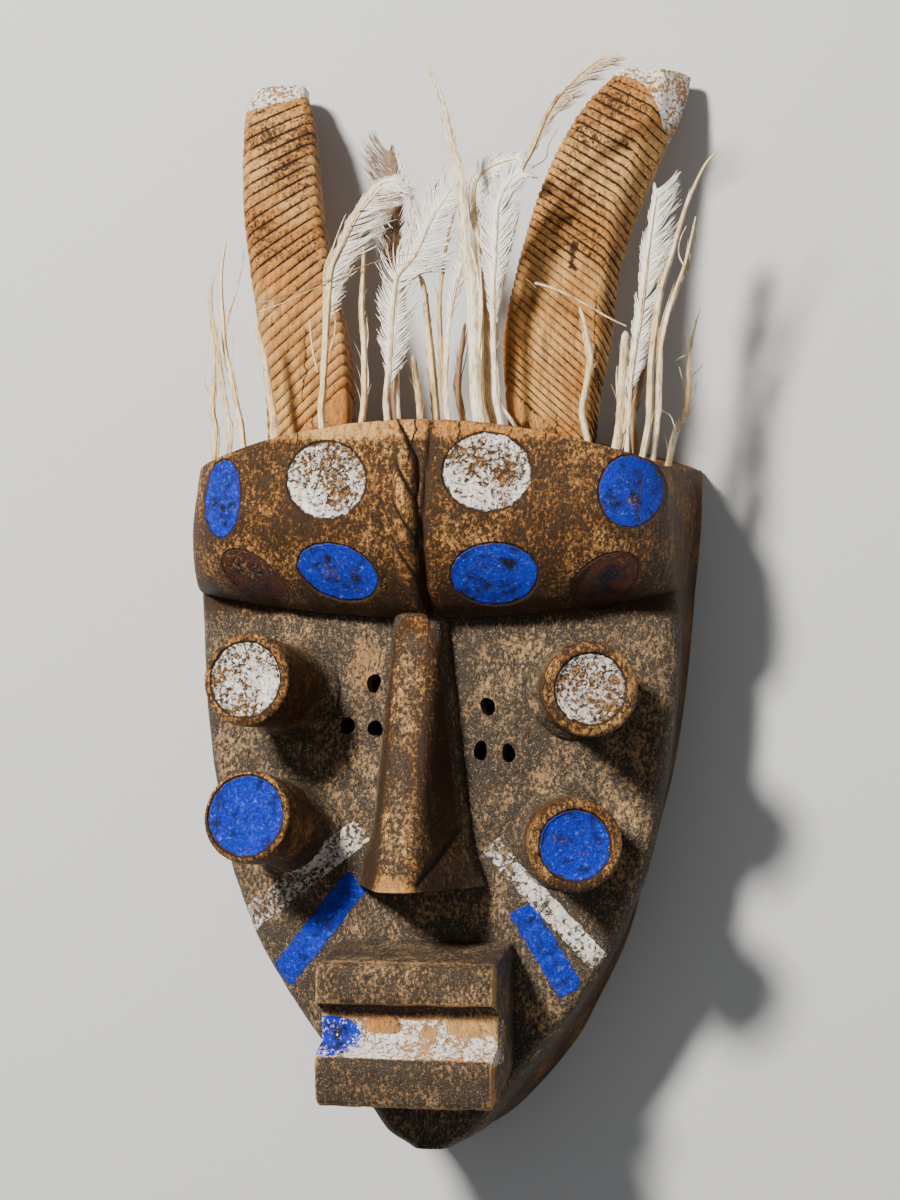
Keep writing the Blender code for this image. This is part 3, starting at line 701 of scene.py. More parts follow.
@dataclass
class Braid:
    """The twisted ridge down the forehead."""
    form: MaskForm
    centre: float = -3 * MM
    half: float = 7 * MM
    proud: float = 9 * MM
    pitch: float = 20 * MM
    waist: float = 0.55
    slant: float = 1.7

    def run(self) -> tuple:
        """Give the heights where the twist starts and ends, and the number of its lobes."""
        low, high = float(self.form.height_at(0.752)), float(self.form.height_at(1)) - 0.5 * self.pitch
        return low, high, round((high - low) / self.pitch)

    def grooves(self, points: Array) -> Array:
        """Give where the grooves between the twist's lobes lie, which the finish darkens with patina and painted
        shade.

        Args:
            points: The places, in metres.

        Returns:
            The grooves, from 0 to 1.
        """
        low, high, lobes = self.run()
        x, y, z = points.T
        turns = (y + self.slant * (x - self.centre) - low) / (high - low) * lobes
        apart = np.abs(turns - np.round(turns)) * self.pitch
        near = (np.abs(x - self.centre) < self.half + 0.5 * MM) & (turns > 0.5) & (z > 0.1)
        return np.exp(-(apart / (1.5 * MM)) ** 2) * near

    def build(self) -> Piece:
        """Make the ridge as a solid: slanting rows that swell and narrow.

        Returns:
            The solid.
        """
        low, high, lobes = self.run()
        rings = []
        angle = np.linspace(0, math.pi, 19)
        for row in np.linspace(0, 1, 16 * lobes + 1):
            swell = self.waist + (1 - self.waist) * abs(math.sin(math.pi * row * lobes)) ** 0.5
            x = self.centre + np.cos(angle) * self.half * (0.7 + 0.3 * swell)
            place = low + (high - low) * row - self.slant * (x - self.centre)
            z = self.form.face_depth(x, self.form.share_of(place, x)) + np.sin(angle) * self.proud * swell
            ring = np.stack([x, place, z], axis=1)
            floor = z.min() - 0.4 * self.form.face_wall
            foot = ring[[-1, 0]].copy()
            foot[:, 2] = floor
            rings.append(np.vstack([ring, foot]))
        return loft("braid", np.array(rings))


@dataclass
class Horn:
    """One horn, whose rows follow the slanting grooves cut into its front."""
    form: MaskForm
    name: str
    length: float
    pitch: float
    flare: float
    edges: tuple
    thickness: float = 33 * MM
    tip_thickness: float = 27 * MM
    front: float = 92 * MM
    setback: float = 60 * MM
    edge: float = 4 * MM
    swell: float = 1.5 * MM
    root: float = 26 * MM
    grooved: float = 0.94
    groove: float = 1.5 * MM

    def depth_at(self, climb: Array) -> Array:
        """Give how deep the front face lies at a share of the length."""
        return self.front - self.setback * np.clip(climb, 0, None) ** 2.0

    def ring(self, climb: float, sunk: float) -> Array:
        """Give one row, sunk by a groove's depth.

        Args:
            climb: The row's place as a share of the length.
            sunk: How deep the groove is on this row.

        Returns:
            The row's points.
        """
        wide = self.form.plate_half_width
        width = wide * abs(float(between(self.edges, climb, 2) - between(self.edges, climb, 1)))
        steep = math.tan(math.radians(44 - 24 * min(max(climb, 0.0), 1.0)))
        fade_in = min(1.0, 1.0 + climb * self.length / self.root)
        fade_out = min(1.0, (1 - climb) / (1 - self.grooved))
        rise = steep * min(fade_in, fade_out) * width / 2 / self.length
        inner = wide * float(between(self.edges, min(climb + rise, 1.0), 1))
        outer = wide * float(between(self.edges, climb - rise, 2))
        middle, half = (inner + outer) / 2, (outer - inner) / 2
        flare = self.flare * self.length * max(climb, 0.0) ** 1.6
        back = -self.thickness + (self.thickness - self.tip_thickness) * max(climb, 0.0)
        section = np.array([
            (-1.0, 0, -self.edge), (-0.84, 0, 0), (0.0, 0, self.swell), (0.84, 0, 0), (1.0, 0, -self.edge),
            (1.0, flare, back + self.edge), (0.0, 0.7 * flare, back), (-1.0, 0.4 * flare, back + self.edge),
        ])
        metric = section * np.array([abs(half), 1, 1])
        metric = respace(soften(metric, 2, True), 60, True)
        across = metric[:, 0] / abs(half)
        behind = np.clip(-metric[:, 2] / abs(back), 0, 1)
        fade = 1 - smooth_step(0.45, 0.8, behind)
        depth = metric[:, 2] - sunk * fade * np.where(np.abs(across) < 0.97, 1.0, 0.0)
        notch = sunk * fade * smooth_step(0.85, 1.0, np.abs(across)) / abs(half)
        across = across * (1 - notch)
        place = climb - across * rise - 0.5 * behind * abs(back) / self.length * min(fade_in, fade_out)
        up = float(self.form.height_at(1)) + place * self.length
        return np.stack([middle + across * half + metric[:, 1], up, self.depth_at(place) + depth], axis=1)

    def build(self) -> Piece:
        """Make the horn as a solid to join to the crown.

        Returns:
            The solid.
        """
        rings = [self.ring(climb, 0) for climb in np.linspace(-self.root / self.length, -0.012, 6)]
        grooves = int(self.grooved * self.length / self.pitch)
        phases = np.array([0.0, 0.13, 0.32, 0.5, 0.68, 0.87])
        cuts = np.array([1.0, 0.35, 0.06, 0.0, 0.06, 0.35])
        for groove in range(grooves):
            for phase, cut in zip(phases, cuts):
                climb = self.grooved * (groove + phase) / grooves
                rings.append(self.ring(climb, self.groove * cut))
        for climb in np.linspace(self.grooved, 0.99, 9):
            rings.append(self.ring(climb, 0))
        last = rings[-1]
        middle = last.mean(axis=0)
        for angle in np.linspace(0.2, 1, 5) * math.pi / 2:
            row = last + (middle - last) * (0.28 * (1 - math.cos(angle)))
            row[:, 1] += 0.010 * self.length * math.sin(angle)
            rings.append(row)
        edge = rings[-1]
        for step in (0.35, 0.7, 0.93):
            rings.append(edge + (middle + np.array([0, 0.01 * self.length, 0]) - edge) * step)
        return loft(self.name, np.array(rings))


@dataclass
class Disc:
    """A painted round on the brow, scooped and outlined: an oval when it is seen from the front."""
    x: float
    y: float
    long: float
    short: float
    turn: float
    paint: Paint
    scoop: float = 1.3 * MM


@dataclass
class Stripe:
    """A painted band on a cheek, from one end to the other."""
    start: tuple
    end: tuple
    half: float
    paint: Paint


@dataclass(frozen=True)
class Blot:
    """A soft patch on the mask, seen from the front, where a mark is strongest in the middle."""
    middle: tuple
    size: tuple
    strength: float
    above: float = -1.0
    rows: tuple = (-1.0, 1.0)

    def at(self, points: Array) -> Array:
        """Give the patch's strength.

        Args:
            points: The places, in metres.

        Returns:
            The strength at each place.
        """
        x, y, z = points.T
        apart = ((x - self.middle[0]) / self.size[0]) ** 2 + ((y - self.middle[1]) / self.size[1]) ** 2
        return self.strength * np.exp(-apart) * ((z > self.above) & (y > self.rows[0]) & (y < self.rows[1]))


@dataclass
class Mask:
    """The carved mask: one block with its nose, mouth, braid, tubes and horns, its paints and its wear."""
    form: MaskForm = field(default_factory=MaskForm)
    eye_holes: tuple = (
        (-0.234, 0.640), (-0.349, 0.581), (-0.228, 0.577), (0.242, 0.609), (0.326, 0.545), (0.212, 0.548),
    )
    eye_radius: float = 4.4 * MM
    nose_creases: tuple = (
        ((0.0194, 0.1680), (0.0065, 0.1405), (0.0210, 0.1500)),
        ((-0.0210, 0.1732), (-0.0286, 0.1440), (-0.0310, 0.1560)),
    )
    crown_splits: tuple = ((0.0135, 0.352, 0.6 * MM), (0.024, 0.368, 0.5 * MM), (0.052, 0.36, 0.6 * MM),
                           (-0.018, 0.362, 0.5 * MM))
    horn_split: tuple = (75.9 * MM, 475 * MM)
    teeth_losses: tuple = (((-16, 66), (11.5, 4.5)), ((8.7, 63), (4.5, 3.6)), ((32, 65.5), (15, 5)),
                           ((-33.5, 65), (3.5, 3.5)))
    blue_teeth: tuple = (-43, 60)
    rubs: tuple = (
        Blot((-0.008, 0.138), (0.018, 0.013), 1.0, 0.120), Blot((-0.012, 0), (0.008, math.inf), 0.5, 0.115,
                                                                (-1, 0.23)),
        Blot((-0.035, 0.255), (0.02, 0.04), 0.72), Blot((-0.003, 0), (0.005, math.inf), 0.58, 0.100,
                                                        (0.286, 1)),
    )
    soot_marks: tuple = tuple(Blot(middle, (size, size), strength, rows=(0.385, 1)) for middle, size,
                              strength in (
        ((-0.101, 0.548), 0.010, 0.9), ((-0.086, 0.548), 0.010, 0.7), ((-0.088, 0.527), 0.011, 0.8),
        ((0.076, 0.545), 0.008, 1.0), ((0.083, 0.541), 0.008, 1.0), ((0.095, 0.560), 0.010, 0.5),
        ((0.060, 0.400), 0.014, 0.7), ((0.050, 0.420), 0.012, 0.6), ((-0.070, 0.470), 0.012, 0.5),
        ((-0.083, 0.560), 0.008, 0.7)))
    discs: tuple = ()
    stripes: tuple = ()
    paint_reach: float = 9 * MM
    brow_foot: float = 286 * MM
    lip_top: float = 115 * MM

    def __post_init__(self) -> None:
        """Make the parts that are joined to the face."""
        form = self.form
        self.nose, self.mouth, self.braid = Nose(form), Mouth(form), Braid(form)
        self.tubes = [
            Tube(form, "tube_upper_left", -0.590, 0.632, -0.164, 0.098, 19.5 * MM, Paint.WHITE),
            Tube(form, "tube_lower_left", -0.590, 0.440, -0.164, 0.148, 21 * MM, Paint.BLUE),
            Tube(form, "tube_upper_right", 0.610, 0.634, 0.279, 0.016, 18 * MM, Paint.WHITE),
            Tube(form, "tube_lower_right", 0.550, 0.429, 0.279, 0.0, 18 * MM, Paint.BLUE),
        ]
        self.horns = [
            Horn(form, "horn_left", 192 * MM, 6.4 * MM, -0.010, (
                (-0.10, -0.3485, -0.7061), (0.00, -0.3485, -0.7061), (0.15, -0.3530, -0.7212),
                (0.31, -0.3864, -0.7576), (0.50, -0.4644, -0.8144), (0.68, -0.5288, -0.8636),
                (0.92, -0.5985, -0.8970), (1.00, -0.6591, -0.8636),
            )),
            Horn(form, "horn_right", 196 * MM, 4.6 * MM, 0.061, (
                (-0.10, 0.3106, 0.6591), (0.00, 0.3106, 0.6606), (0.11, 0.2947, 0.6697), (0.24, 0.2818,
                                                                                          0.7030),
                (0.43, 0.3265, 0.7197), (0.56, 0.3697, 0.7462), (0.68, 0.4136, 0.7917), (0.80, 0.4826,
                                                                                         0.8409),
                (0.91, 0.5697, 0.8939), (1.00, 0.6894, 0.9167),
            )),
        ]

    def cutters(self) -> list:
        """Make the eye holes as cutters, a little uneven as a knife leaves them.

        Returns:
            The cutters.
        """
        form = self.form
        depths = np.linspace(form.eye_plane - 28 * MM, form.eye_plane + 9 * MM, 10)
        angle = np.linspace(0, 2 * math.pi, 28, endpoint=False)
        found = []
        for index, (across, up) in enumerate(self.eye_holes):
            wobble = 1 + 0.10 * np.sin(2 * angle + index) + 0.05 * np.sin(3 * angle + 2.1 * index)
            x = across * form.plate_half_width + self.eye_radius * wobble * np.cos(angle) * 0.88
            y = float(form.height_at(up)) + self.eye_radius * wobble * np.sin(angle) * 1.12
            rings = [np.stack([x, y, np.full(len(x), z)], axis=1) for z in depths]
            found.append(loft(f"eye_hole_{index}", np.array(rings)))
        return found

    def carve(self, sockets: list) -> Piece:
        """Join and cut the block.

        Args:
            sockets: The quills' holes, as cutters.

        Returns:
            The block as one closed mesh.
        """
        parts = [self.nose.build(), self.mouth.build(), self.braid.build()]
        parts += [part.build() for part in self.tubes + self.horns]
        solid = combine(self.form.outer(), parts, "UNION")
        cuts = [self.form.hollow(), self.form.rear_trim()] + self.cutters() + sockets
        return combine(solid, cuts, "DIFFERENCE")

    def disc_distance(self, points: Array, disc: Disc) -> Array:
        """Give the distance from a disc's edge, in millimetres, less than 0 inside it.

        Args:
            points: The places, in metres.
            disc: The disc.

        Returns:
            The distances.
        """
        turn = math.radians(disc.turn)
        x, y = points[:, 0] - disc.x, points[:, 1] - disc.y
        along = x * math.cos(turn) + y * math.sin(turn)
        beside = y * math.cos(turn) - x * math.sin(turn)
        ring = np.maximum(np.hypot(along / disc.long, beside / disc.short), 1e-6)
        slope = np.maximum(np.hypot(along / disc.long ** 2, beside / disc.short ** 2), ring / disc.long)
        return np.maximum((ring - 1) * ring / slope, self.lift - self.paint_reach) / MM

    def tube_distance(self, points: Array, tube: Tube) -> Array:
        """Give the distance from a tube's painted end, in millimetres, less than 0 inside it.

        Args:
            points: The places, in metres.
            tube: The tube.

        Returns:
            The distances.
        """
        offset, axis = points - np.array(tube.base), np.array(tube.axis)
        along = offset @ axis
        radial = np.linalg.norm(offset - along[:, None] * axis, axis=1)
        return np.maximum(radial - tube.disc, 0.8 * tube.length - along) / MM

    def stripe_distance(self, points: Array, stripe: Stripe) -> Array:
        """Give the distance from a cheek's stripe, in millimetres, less than 0 inside it.

        Args:
            points: The places, in metres.
            stripe: The stripe.

        Returns:
            The distances.
        """
        start, end = np.array(stripe.start), np.array(stripe.end)
        length = np.linalg.norm(end - start)
        line = (end - start) / length
        offset = points[:, :2] - start
        along, beside = offset @ line, np.abs(offset @ np.array([-line[1], line[0]]))
        apart = np.maximum(beside - stripe.half, np.maximum(-along, along - length))
        return np.maximum(apart, self.lift - self.paint_reach) / MM

    def painted(self, points: Array) -> dict:
        """Give the distance from each paint's edge.

        Args:
            points: The places, in metres.

        Returns:
            The distances in millimetres by paint, less than 0 inside.
        """
        found = {paint: [np.full(len(points), FAR)] for paint in Paint}
        for marks, distance in ((self.discs, self.disc_distance), (self.stripes, self.stripe_distance),
                                (self.tubes, self.tube_distance)):
            for mark in marks:
                found[mark.paint].append(distance(points, mark))
        found[Paint.WHITE] += [self.tips(points), self.teeth(points)]
        found[Paint.BLUE].append(self.spot(points, self.blue_teeth, (16, 11)))
        return {paint: np.minimum.reduce(distances) for paint, distances in found.items()}

    def lip_edge(self, points: Array) -> Array:
        """Give how far the points on the lips' fronts lie from the lips' worn edges.

        Args:
            points: The places, in metres.

        Returns:
            The distances in millimetres, far off the lips.
        """
        x, y, z = points.T
        mouth = self.mouth
        middle = mouth.low + mouth.lower_lip + 0.5 * mouth.teeth
        upper = mouth.low + mouth.lower_lip + mouth.teeth
        top = upper + mouth.upper_lip
        under = np.where(y < middle, y - mouth.low, np.minimum(y - upper, top - y + 2 * MM))
        side = np.minimum(x + mouth.left, mouth.right - x)
        front = (z > 0.92 * mouth.depth) & (y < top + 3 * MM)
        return np.where(front, np.minimum(np.abs(under), np.abs(side)) / MM, FAR)

    def spot(self, points: Array, middle: tuple, size: tuple) -> Array:
        """Give the distance from an oval patch in the mouth's slot, in millimetres, less than 0 inside it.

        Args:
            points: The places, in metres.
            middle: The oval's middle, in millimetres.
            size: Its half width and half height, in millimetres.

        Returns:
            The distances.
        """
        x, y = points[:, 0] / MM, points[:, 1] / MM
        oval = (np.hypot((x - middle[0]) / size[0], (y - middle[1]) / size[1]) - 1) * min(size)
        return np.where(self.in_slot(points), oval, FAR)

    def teeth(self, points: Array) -> Array:
        """Give the distance from the white in the mouth's slot, with the places where it is lost.

        Args:
            points: The places, in metres.

        Returns:
            The distances in millimetres, less than 0 inside.
        """
        y, z = points[:, 1] / MM, points[:, 2] / MM
        strip = np.maximum.reduce([47.0 - y, y - 69.5, z - (self.mouth.depth / MM - 2.4)])
        losses = [-self.spot(points, middle, size) for middle, size in self.teeth_losses]
        return np.where(z > 118, np.maximum.reduce([strip] + losses), FAR)

    @staticmethod
    def tips(points: Array) -> Array:
        """Give the distance from the white on the horns' tips.

        Args:
            points: The places, in metres.

        Returns:
            The distances in millimetres, less than 0 inside.
        """
        x, y = points[:, 0], points[:, 1]
        left = np.interp(x, (-0.1155, -0.0814), (0.5634, 0.5719))
        right = np.interp(x, (0.0905, 0.1033, 0.1110, 0.1155, 0.1199), (0.5789, 0.5752, 0.5684, 0.5600,
                                                                        0.5400))
        return (np.where(x < 0, left, right) - y) / MM

    def beside_braid(self, points: Array, half: float) -> Array:
        """Give where the cut runs down beside the braid.

        Args:
            points: The places, in metres.
            half: The cut's half width.

        Returns:
            The cut, from 0 to 1.
        """
        x, y, z = points.T
        seam = self.braid.centre + 9.5 * MM + 0.05 * (y - 0.33)
        return np.exp(-((x - seam) / half) ** 2) * (z > 0.09)

    def relief(self, points: Array, normals: Array) -> Array:
        """Give how far each point is moved along its normal by the carver's and by time's marks.

        Args:
            points: The places, in metres.
            normals: The surface's directions there.

        Returns:
            The moves, in metres.
        """
        x, y, z = points.T
        front = normals[:, 2] > 0.1
        facets = field_noise(points, (26 * MM, 40 * MM, 26 * MM), 2, 3.1)
        adze = np.abs(field_noise(points, (9 * MM, 15 * MM, 9 * MM), 2, 11.7))
        grain = field_noise(points, (2.2 * MM, 12 * MM, 2.2 * MM), 3, 5.3)
        move = 0.55 * MM * facets - 0.35 * MM * adze + 0.14 * MM * grain
        for disc in self.discs:
            d = self.disc_distance(points, disc) * MM
            bowl = smooth_step(0.6 * MM, -1.2 * MM, d) * (0.65 + 0.35 * smooth_step(0, -disc.short, d))
            move -= disc.scoop * bowl * front
            move += 0.35 * MM * np.exp(-((d - 1.2 * MM) / (1.0 * MM)) ** 2) * front
        for tube in self.tubes:
            move -= 1.6 * MM * smooth_step(-1 * MM, -tube.disc, self.tube_distance(points, tube) * MM)
        move -= 2.4 * MM * self.beside_braid(points, 1.1 * MM) * smooth_step(0.270, 0.285, y)
        on_crown = (y < float(self.form.height_at(1)) + 2 * MM) & (z > 0.04)
        for place, low, half in self.crown_splits:
            wander = place + 0.6 * MM * np.sin(y * 260 + place * 900)
            move -= 0.8 * MM * np.exp(-((x - wander) / (1.6 * half)) ** 2) * smooth_step(low, low + 0.02,
                                                                                         y) * on_crown
        near = z > self.form.eye_plane + 8 * MM
        for start, end, wing in self.nose_creases:
            line = np.array(end) - start
            t = np.clip((points[:, :2] - start) @ line / (line @ line), 0, 1)
            apart = np.linalg.norm(points[:, :2] - start - t[:, None] * line, axis=1)
            move -= 1.5 * MM * np.exp(-(apart / (1.0 * MM)) ** 2) * near
            move += 1.3 * MM * np.exp(-(np.hypot(x - wing[0], y - wing[1]) / (8 * MM)) ** 2) * near
        return move * (z > 3 * MM)

    @staticmethod
    def bends(mesh: bpy.types.Mesh, rounds: int) -> Array:
        """Give how far the surface bends out (more than 0) or in (less) at each point.

        Args:
            mesh: The mesh to read.
            rounds: How often the result is spread to its neighbours.

        Returns:
            The bend at each point, in about -1 to 1.
        """
        points, normals = read_points(mesh)
        edges = np.empty(len(mesh.edges) * 2, int)
        mesh.edges.foreach_get("vertices", edges)
        first, second = edges.reshape(-1, 2).T
        bend, degree = np.zeros(len(points)), np.zeros(len(points))
        offset = points[second] - points[first]
        size = np.maximum(np.linalg.norm(offset, axis=1), 0.05 * MM)
        for end, sign in ((first, 1), (second, -1)):
            np.add.at(bend, end, -sign * np.einsum("ij,ij->i", offset, normals[end]) / size)
            np.add.at(degree, end, 1)
        bend /= np.maximum(degree, 1)
        for _ in range(rounds):
            total, seen = bend.copy(), np.ones(len(points))
            for end, other in ((first, second), (second, first)):
                np.add.at(total, end, bend[other])
                np.add.at(seen, end, 1)
            bend = total / seen
        return bend

    def build(self, sockets: list) -> Piece:
        """Make the block, with its relief and the values that its finish reads.

        Args:
            sockets: The quills' holes, as cutters.

        Returns:
            The finished piece.
        """
        piece = self.carve(sockets)
        piece.name = "carved_mask"
        mesh = piece.data
        points, normals = read_points(mesh)
        x, y, z = points.T
        self.lift = np.abs(z - self.form.face_depth(x, self.form.share_of(y, x)))
        paints = self.painted(points)
        bend = self.bends(mesh, 3)
        moved = points + normals * self.relief(points, normals)[:, None]
        low, high = (np.array(corner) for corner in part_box("mask"))
        mesh.vertices.foreach_set("co", np.clip(moved, low, high).reshape(-1))
        mesh.update()
        fine = self.bends(mesh, 1)
        bare = self.bare(points)
        # sunk darkens the hollows: patina gathered there, with painted shade, strongest in the horns' grooves
        sunk = smooth_step(0.03, 0.30, -bend) + smooth_step(0.0, 0.25, -fine)
        values = {
            "worn": smooth_step(0.05, 0.34, bend) + 1.7 * smooth_step(0.4, 1.0, self.rubbed(points)),
            "sunk": sunk + 1.35 * (bare > 0.6) * smooth_step(0.02, 0.16, -fine),
            "bare": bare, "soot_and_shade": self.soot_and_shade(points), "rounds": self.rounds(points), "core": self.core(points),
            "grey_and_sheen": self.grey_and_sheen(points),
        }
        values.update({paint.value: distance for paint, distance in paints.items()})
        for name, column in values.items():
            store_value(mesh, name, column)
        mesh.shade_smooth()
        mesh.set_sharp_from_angle(angle=math.radians(50))
        return piece

    def rubbed(self, points: Array) -> Array:
        """Give where hands have rubbed the patina off.

        Args:
            points: The places, in metres.

        Returns:
            The wear, from 0 to 1.
        """
        x, y, z = points.T
        crown = 0.8 * smooth_step(0.367, 0.380, y) * (z > 0.08) * (np.abs(x) < 0.14)
        lips = 0.85 * np.exp(-(self.lip_edge(points) / 2.4) ** 2)
        found = [blot.at(points) for blot in self.rubs] + [crown, 0.9 * self.in_slot(points), lips]
        return np.clip(np.maximum.reduce(found), 0, 1)

    def core(self, points: Array) -> Array:
        """Give how far the paint is rubbed away, most in the middle of the brow's discs, where blue and brown paint
        also get painted shade.

        Args:
            points: The places, in metres.

        Returns:
            The loss, up to 1, and less than 0 where the paint is whole.
        """
        found = [np.zeros(len(points))]
        for disc in self.discs:
            found.append(1 - smooth_step(0.1, 0.8, 1 + self.disc_distance(points, disc) * MM / disc.short))
        found += [0.04 * (self.stripe_distance(points, stripe) < 3) for stripe in self.stripes]
        whole = np.maximum.reduce(found) - 0.7 * (self.tips(points) < 3)
        return np.maximum(whole, 0.5 * smooth_step(4, -6, self.spot(points, self.blue_teeth, (13, 13))))

    def rounds(self, points: Array) -> Array:
        """Give the distance from the lines cut round the discs and tube ends, in millimetres."""
        found = [self.disc_distance(points, disc) for disc in self.discs]
        return np.minimum.reduce(found + [self.tube_distance(points, tube) for tube in self.tubes])

    def grey_and_sheen(self, points: Array) -> Array:
        """Give where the patina is grey, on the cheeks and the mouth, and where a painted grey sheen lies along the
        nose's ridge; none of it on the brow.

        Args:
            points: The places, in metres.

        Returns:
            The share of grey, from 0 to 1.
        """
        y, z = points[:, 1], points[:, 2]
        brow = float(self.form.height_at(self.form.brow_line))
        # painted sheen: a grey highlight along the nose's ridge, where light glances off it
        ridge = Blot((-0.006, 0), (0.007, math.inf), 0.6, 0.112).at(points)
        lips = 0.7 * ((z > 0.109) & (y < self.lip_top))
        return np.maximum.reduce([ridge, (z > 0.060) & (z < 0.109), lips]) * smooth_step(brow + 6 * MM,
                                                                                         brow - 2 * MM, y)

    def in_slot(self, points: Array) -> Array:
        """Tell which points lie on the painted floor of the mouth's slot.

        Args:
            points: The places, in metres.

        Returns:
            True or False for each.
        """
        mouth, (y, z) = self.mouth, points.T[1:]
        lip = mouth.low + mouth.lower_lip
        return (y > lip - 1 * MM) & (y < lip + mouth.teeth - 6 * MM) & (z > mouth.depth - mouth.slot - 3 * MM)

    def bare(self, points: Array) -> Array:
        """Give where the wood never took the face's dark patina, from 0 to 1: the horns and part of the rear."""
        horns = smooth_step(-2 * MM, 6 * MM, points[:, 1] - float(self.form.height_at(1)))
        return np.maximum(horns, smooth_step(40 * MM, 10 * MM, points[:, 2]) * 0.35)

    def soot_and_shade(self, points: Array) -> Array:
        """Give where the wood is darkened, with painted shade under the brow, beside the braid, in the braid's
        grooves and on the nose's flanks.

        Args:
            points: The places, in metres.

        Returns:
            The darkening, from 0 up.
        """
        x, y, z = points.T
        beside_nose = (np.abs(x + 0.006) > 0.009) & (np.abs(x) < 0.04) & (y > 0.135) & (y < 0.285)
        split = np.hypot((x - self.horn_split[0]) / (1.3 * MM),
                         np.maximum(np.abs(y - self.horn_split[1]) - 7 * MM, 0) / (1.5 * MM))
        return np.maximum.reduce([
            # painted shade: a dark band under the brow's overhang
            Blot((0, 0.292), (math.inf, 0.012), 0.55).at(points) * (np.abs(x) > 0.012),
            0.12 * ((z > 0.120) & (y < self.lip_top)), 0.15 * smooth_step(0.17, 0.10, y),
            # the nose's flanks on the next line: darker patina, deepened with painted shade
            0.35 * ((z < 0.080) & (y < 0.27) & (z > 0.002)), 0.5 * ((z > 0.104) & (z < 0.150) & beside_nose),
            # the braid's grooves on the next line: patina in them, deepened with painted shade
            3.0 * ((split < 1) & (z > 0.045)), 1.1 * self.braid.grooves(points),
            # painted shade in the cut beside the braid
            1.5 * self.beside_braid(points, 1.2 * MM) * (y > self.brow_foot),
        ] + [blot.at(points) for blot in self.soot_marks])


class Value:
    """A node's output, so that sums of node values read as plain formulas."""

    def __init__(self, graph: "Graph", socket: bpy.types.NodeSocket) -> None:
        """Keep the graph and the output socket."""
        self.graph, self.socket = graph, socket

    def __add__(self, other: object) -> "Value":
        """Give the sum of two values."""
        return self.graph.math("ADD", self, other)

    def __sub__(self, other: object) -> "Value":
        """Give the difference of two values."""
        return self.graph.math("SUBTRACT", self, other)

    def __mul__(self, other: object) -> "Value":
        """Give the product of two values."""
        return self.graph.math("MULTIPLY", self, other)


class Graph:
    """A node tree, with short calls for the nodes that the finishes use."""

    def __init__(self, tree: bpy.types.NodeTree) -> None:
        """Keep the tree that the nodes are made in."""
        self.tree = tree

    def node(self, kind: str, **settings: object) -> bpy.types.Node:
        """Make a node and set its properties.

        Args:
            kind: The node's type.
            settings: Its properties by name.

        Returns:
            The node.
        """
        made = self.tree.nodes.new(kind)
        for name, value in settings.items():
            setattr(made, name, value)
        return made

    def feed(self, socket: bpy.types.NodeSocket, value: object) -> None:
        """Link a socket to a node's value, or set it to a plain one.

        Args:
            socket: The input to fill.
            value: What it gets.
        """
        if isinstance(value, Value):
            self.tree.links.new(value.socket, socket)
        else:
            socket.default_value = value

    def make(self, kind: str, inputs: dict, output: object = 0, **settings: object) -> Value:
        """Make a node, fill its inputs and give one of its outputs.

        Args:
            kind: The node's type.
            inputs: The inputs' values by name or number.
            output: The output's name or number.
            settings: The node's properties by name.

        Returns:
            The output as a value.
        """
        made = self.node(kind, **settings)
        for name, value in inputs.items():
            self.feed(made.inputs[name], value)
        return Value(self, made.outputs[output])

    def math(self, operation: str, *values: object, clamp: bool = False) -> Value:
        """Calculate with one, two or three values."""
        return self.make("ShaderNodeMath", dict(enumerate(values)), operation=operation, use_clamp=clamp)

    def most(self, values: list) -> Value:
        """Give the greatest of some values."""
        return reduce(lambda first, other: self.math("MAXIMUM", first, other), values)

    def step(self, value: object, low: object, high: object) -> Value:
        """Give a smooth rise from 0 at low to 1 at high."""
        return self.make("ShaderNodeMapRange", {"Value": value, "From Min": low, "From Max": high}, "Result",
                         interpolation_type="SMOOTHSTEP")

    def mix(self, factor: object, first: object, second: object) -> Value:
        """Mix two colours."""
        return self.make("ShaderNodeMix", {"Factor": factor, 6: first, 7: second}, 2, data_type="RGBA")

    def noise(self, place: object, scale: object, detail: float, rough: float = 0.6, warp: float = 0.0) -> Value:
        """Read a noise at a place."""
        return self.make("ShaderNodeTexNoise", {
            "Vector": place, "Scale": scale, "Detail": detail, "Roughness": rough, "Distortion": warp}, "Fac")

    def attribute(self, name: str) -> Value:
        """Read a value stored on the mesh."""
        return self.make("ShaderNodeAttribute", {}, "Fac", attribute_name=name)

    def stretch(self, place: object, scale: tuple) -> Value:
        """Stretch a place."""
        return self.make("ShaderNodeMapping", {"Vector": place, "Scale": scale}, "Vector")

    def place(self, scale: tuple = (1.0, 1.0, 1.0)) -> Value:
        """Read the place on the piece, stretched."""
        return self.stretch(self.make("ShaderNodeTexCoord", {}, "Object"), scale)

    def bump(self, shader: bpy.types.Node, height: Value, strength: float, distance: float) -> None:
        """Give a shader a surface in relief.

        Args:
            shader: The shader.
            height: The relief's height.
            strength: How strong the relief is.
            distance: How high it is, in metres.
        """
        normal = self.make("ShaderNodeBump", {"Strength": strength, "Distance": distance, "Height": height},
                           "Normal")
        self.feed(shader.inputs["Normal"], normal)


def start_material(name: str) -> tuple:
    """Start a material.

    Args:
        name: Its name.

    Returns:
        The material, its graph and its shader.
    """
    material = bpy.data.materials.new(name)
    material.use_nodes = True
    return material, Graph(material.node_tree), material.node_tree.nodes["Principled BSDF"]


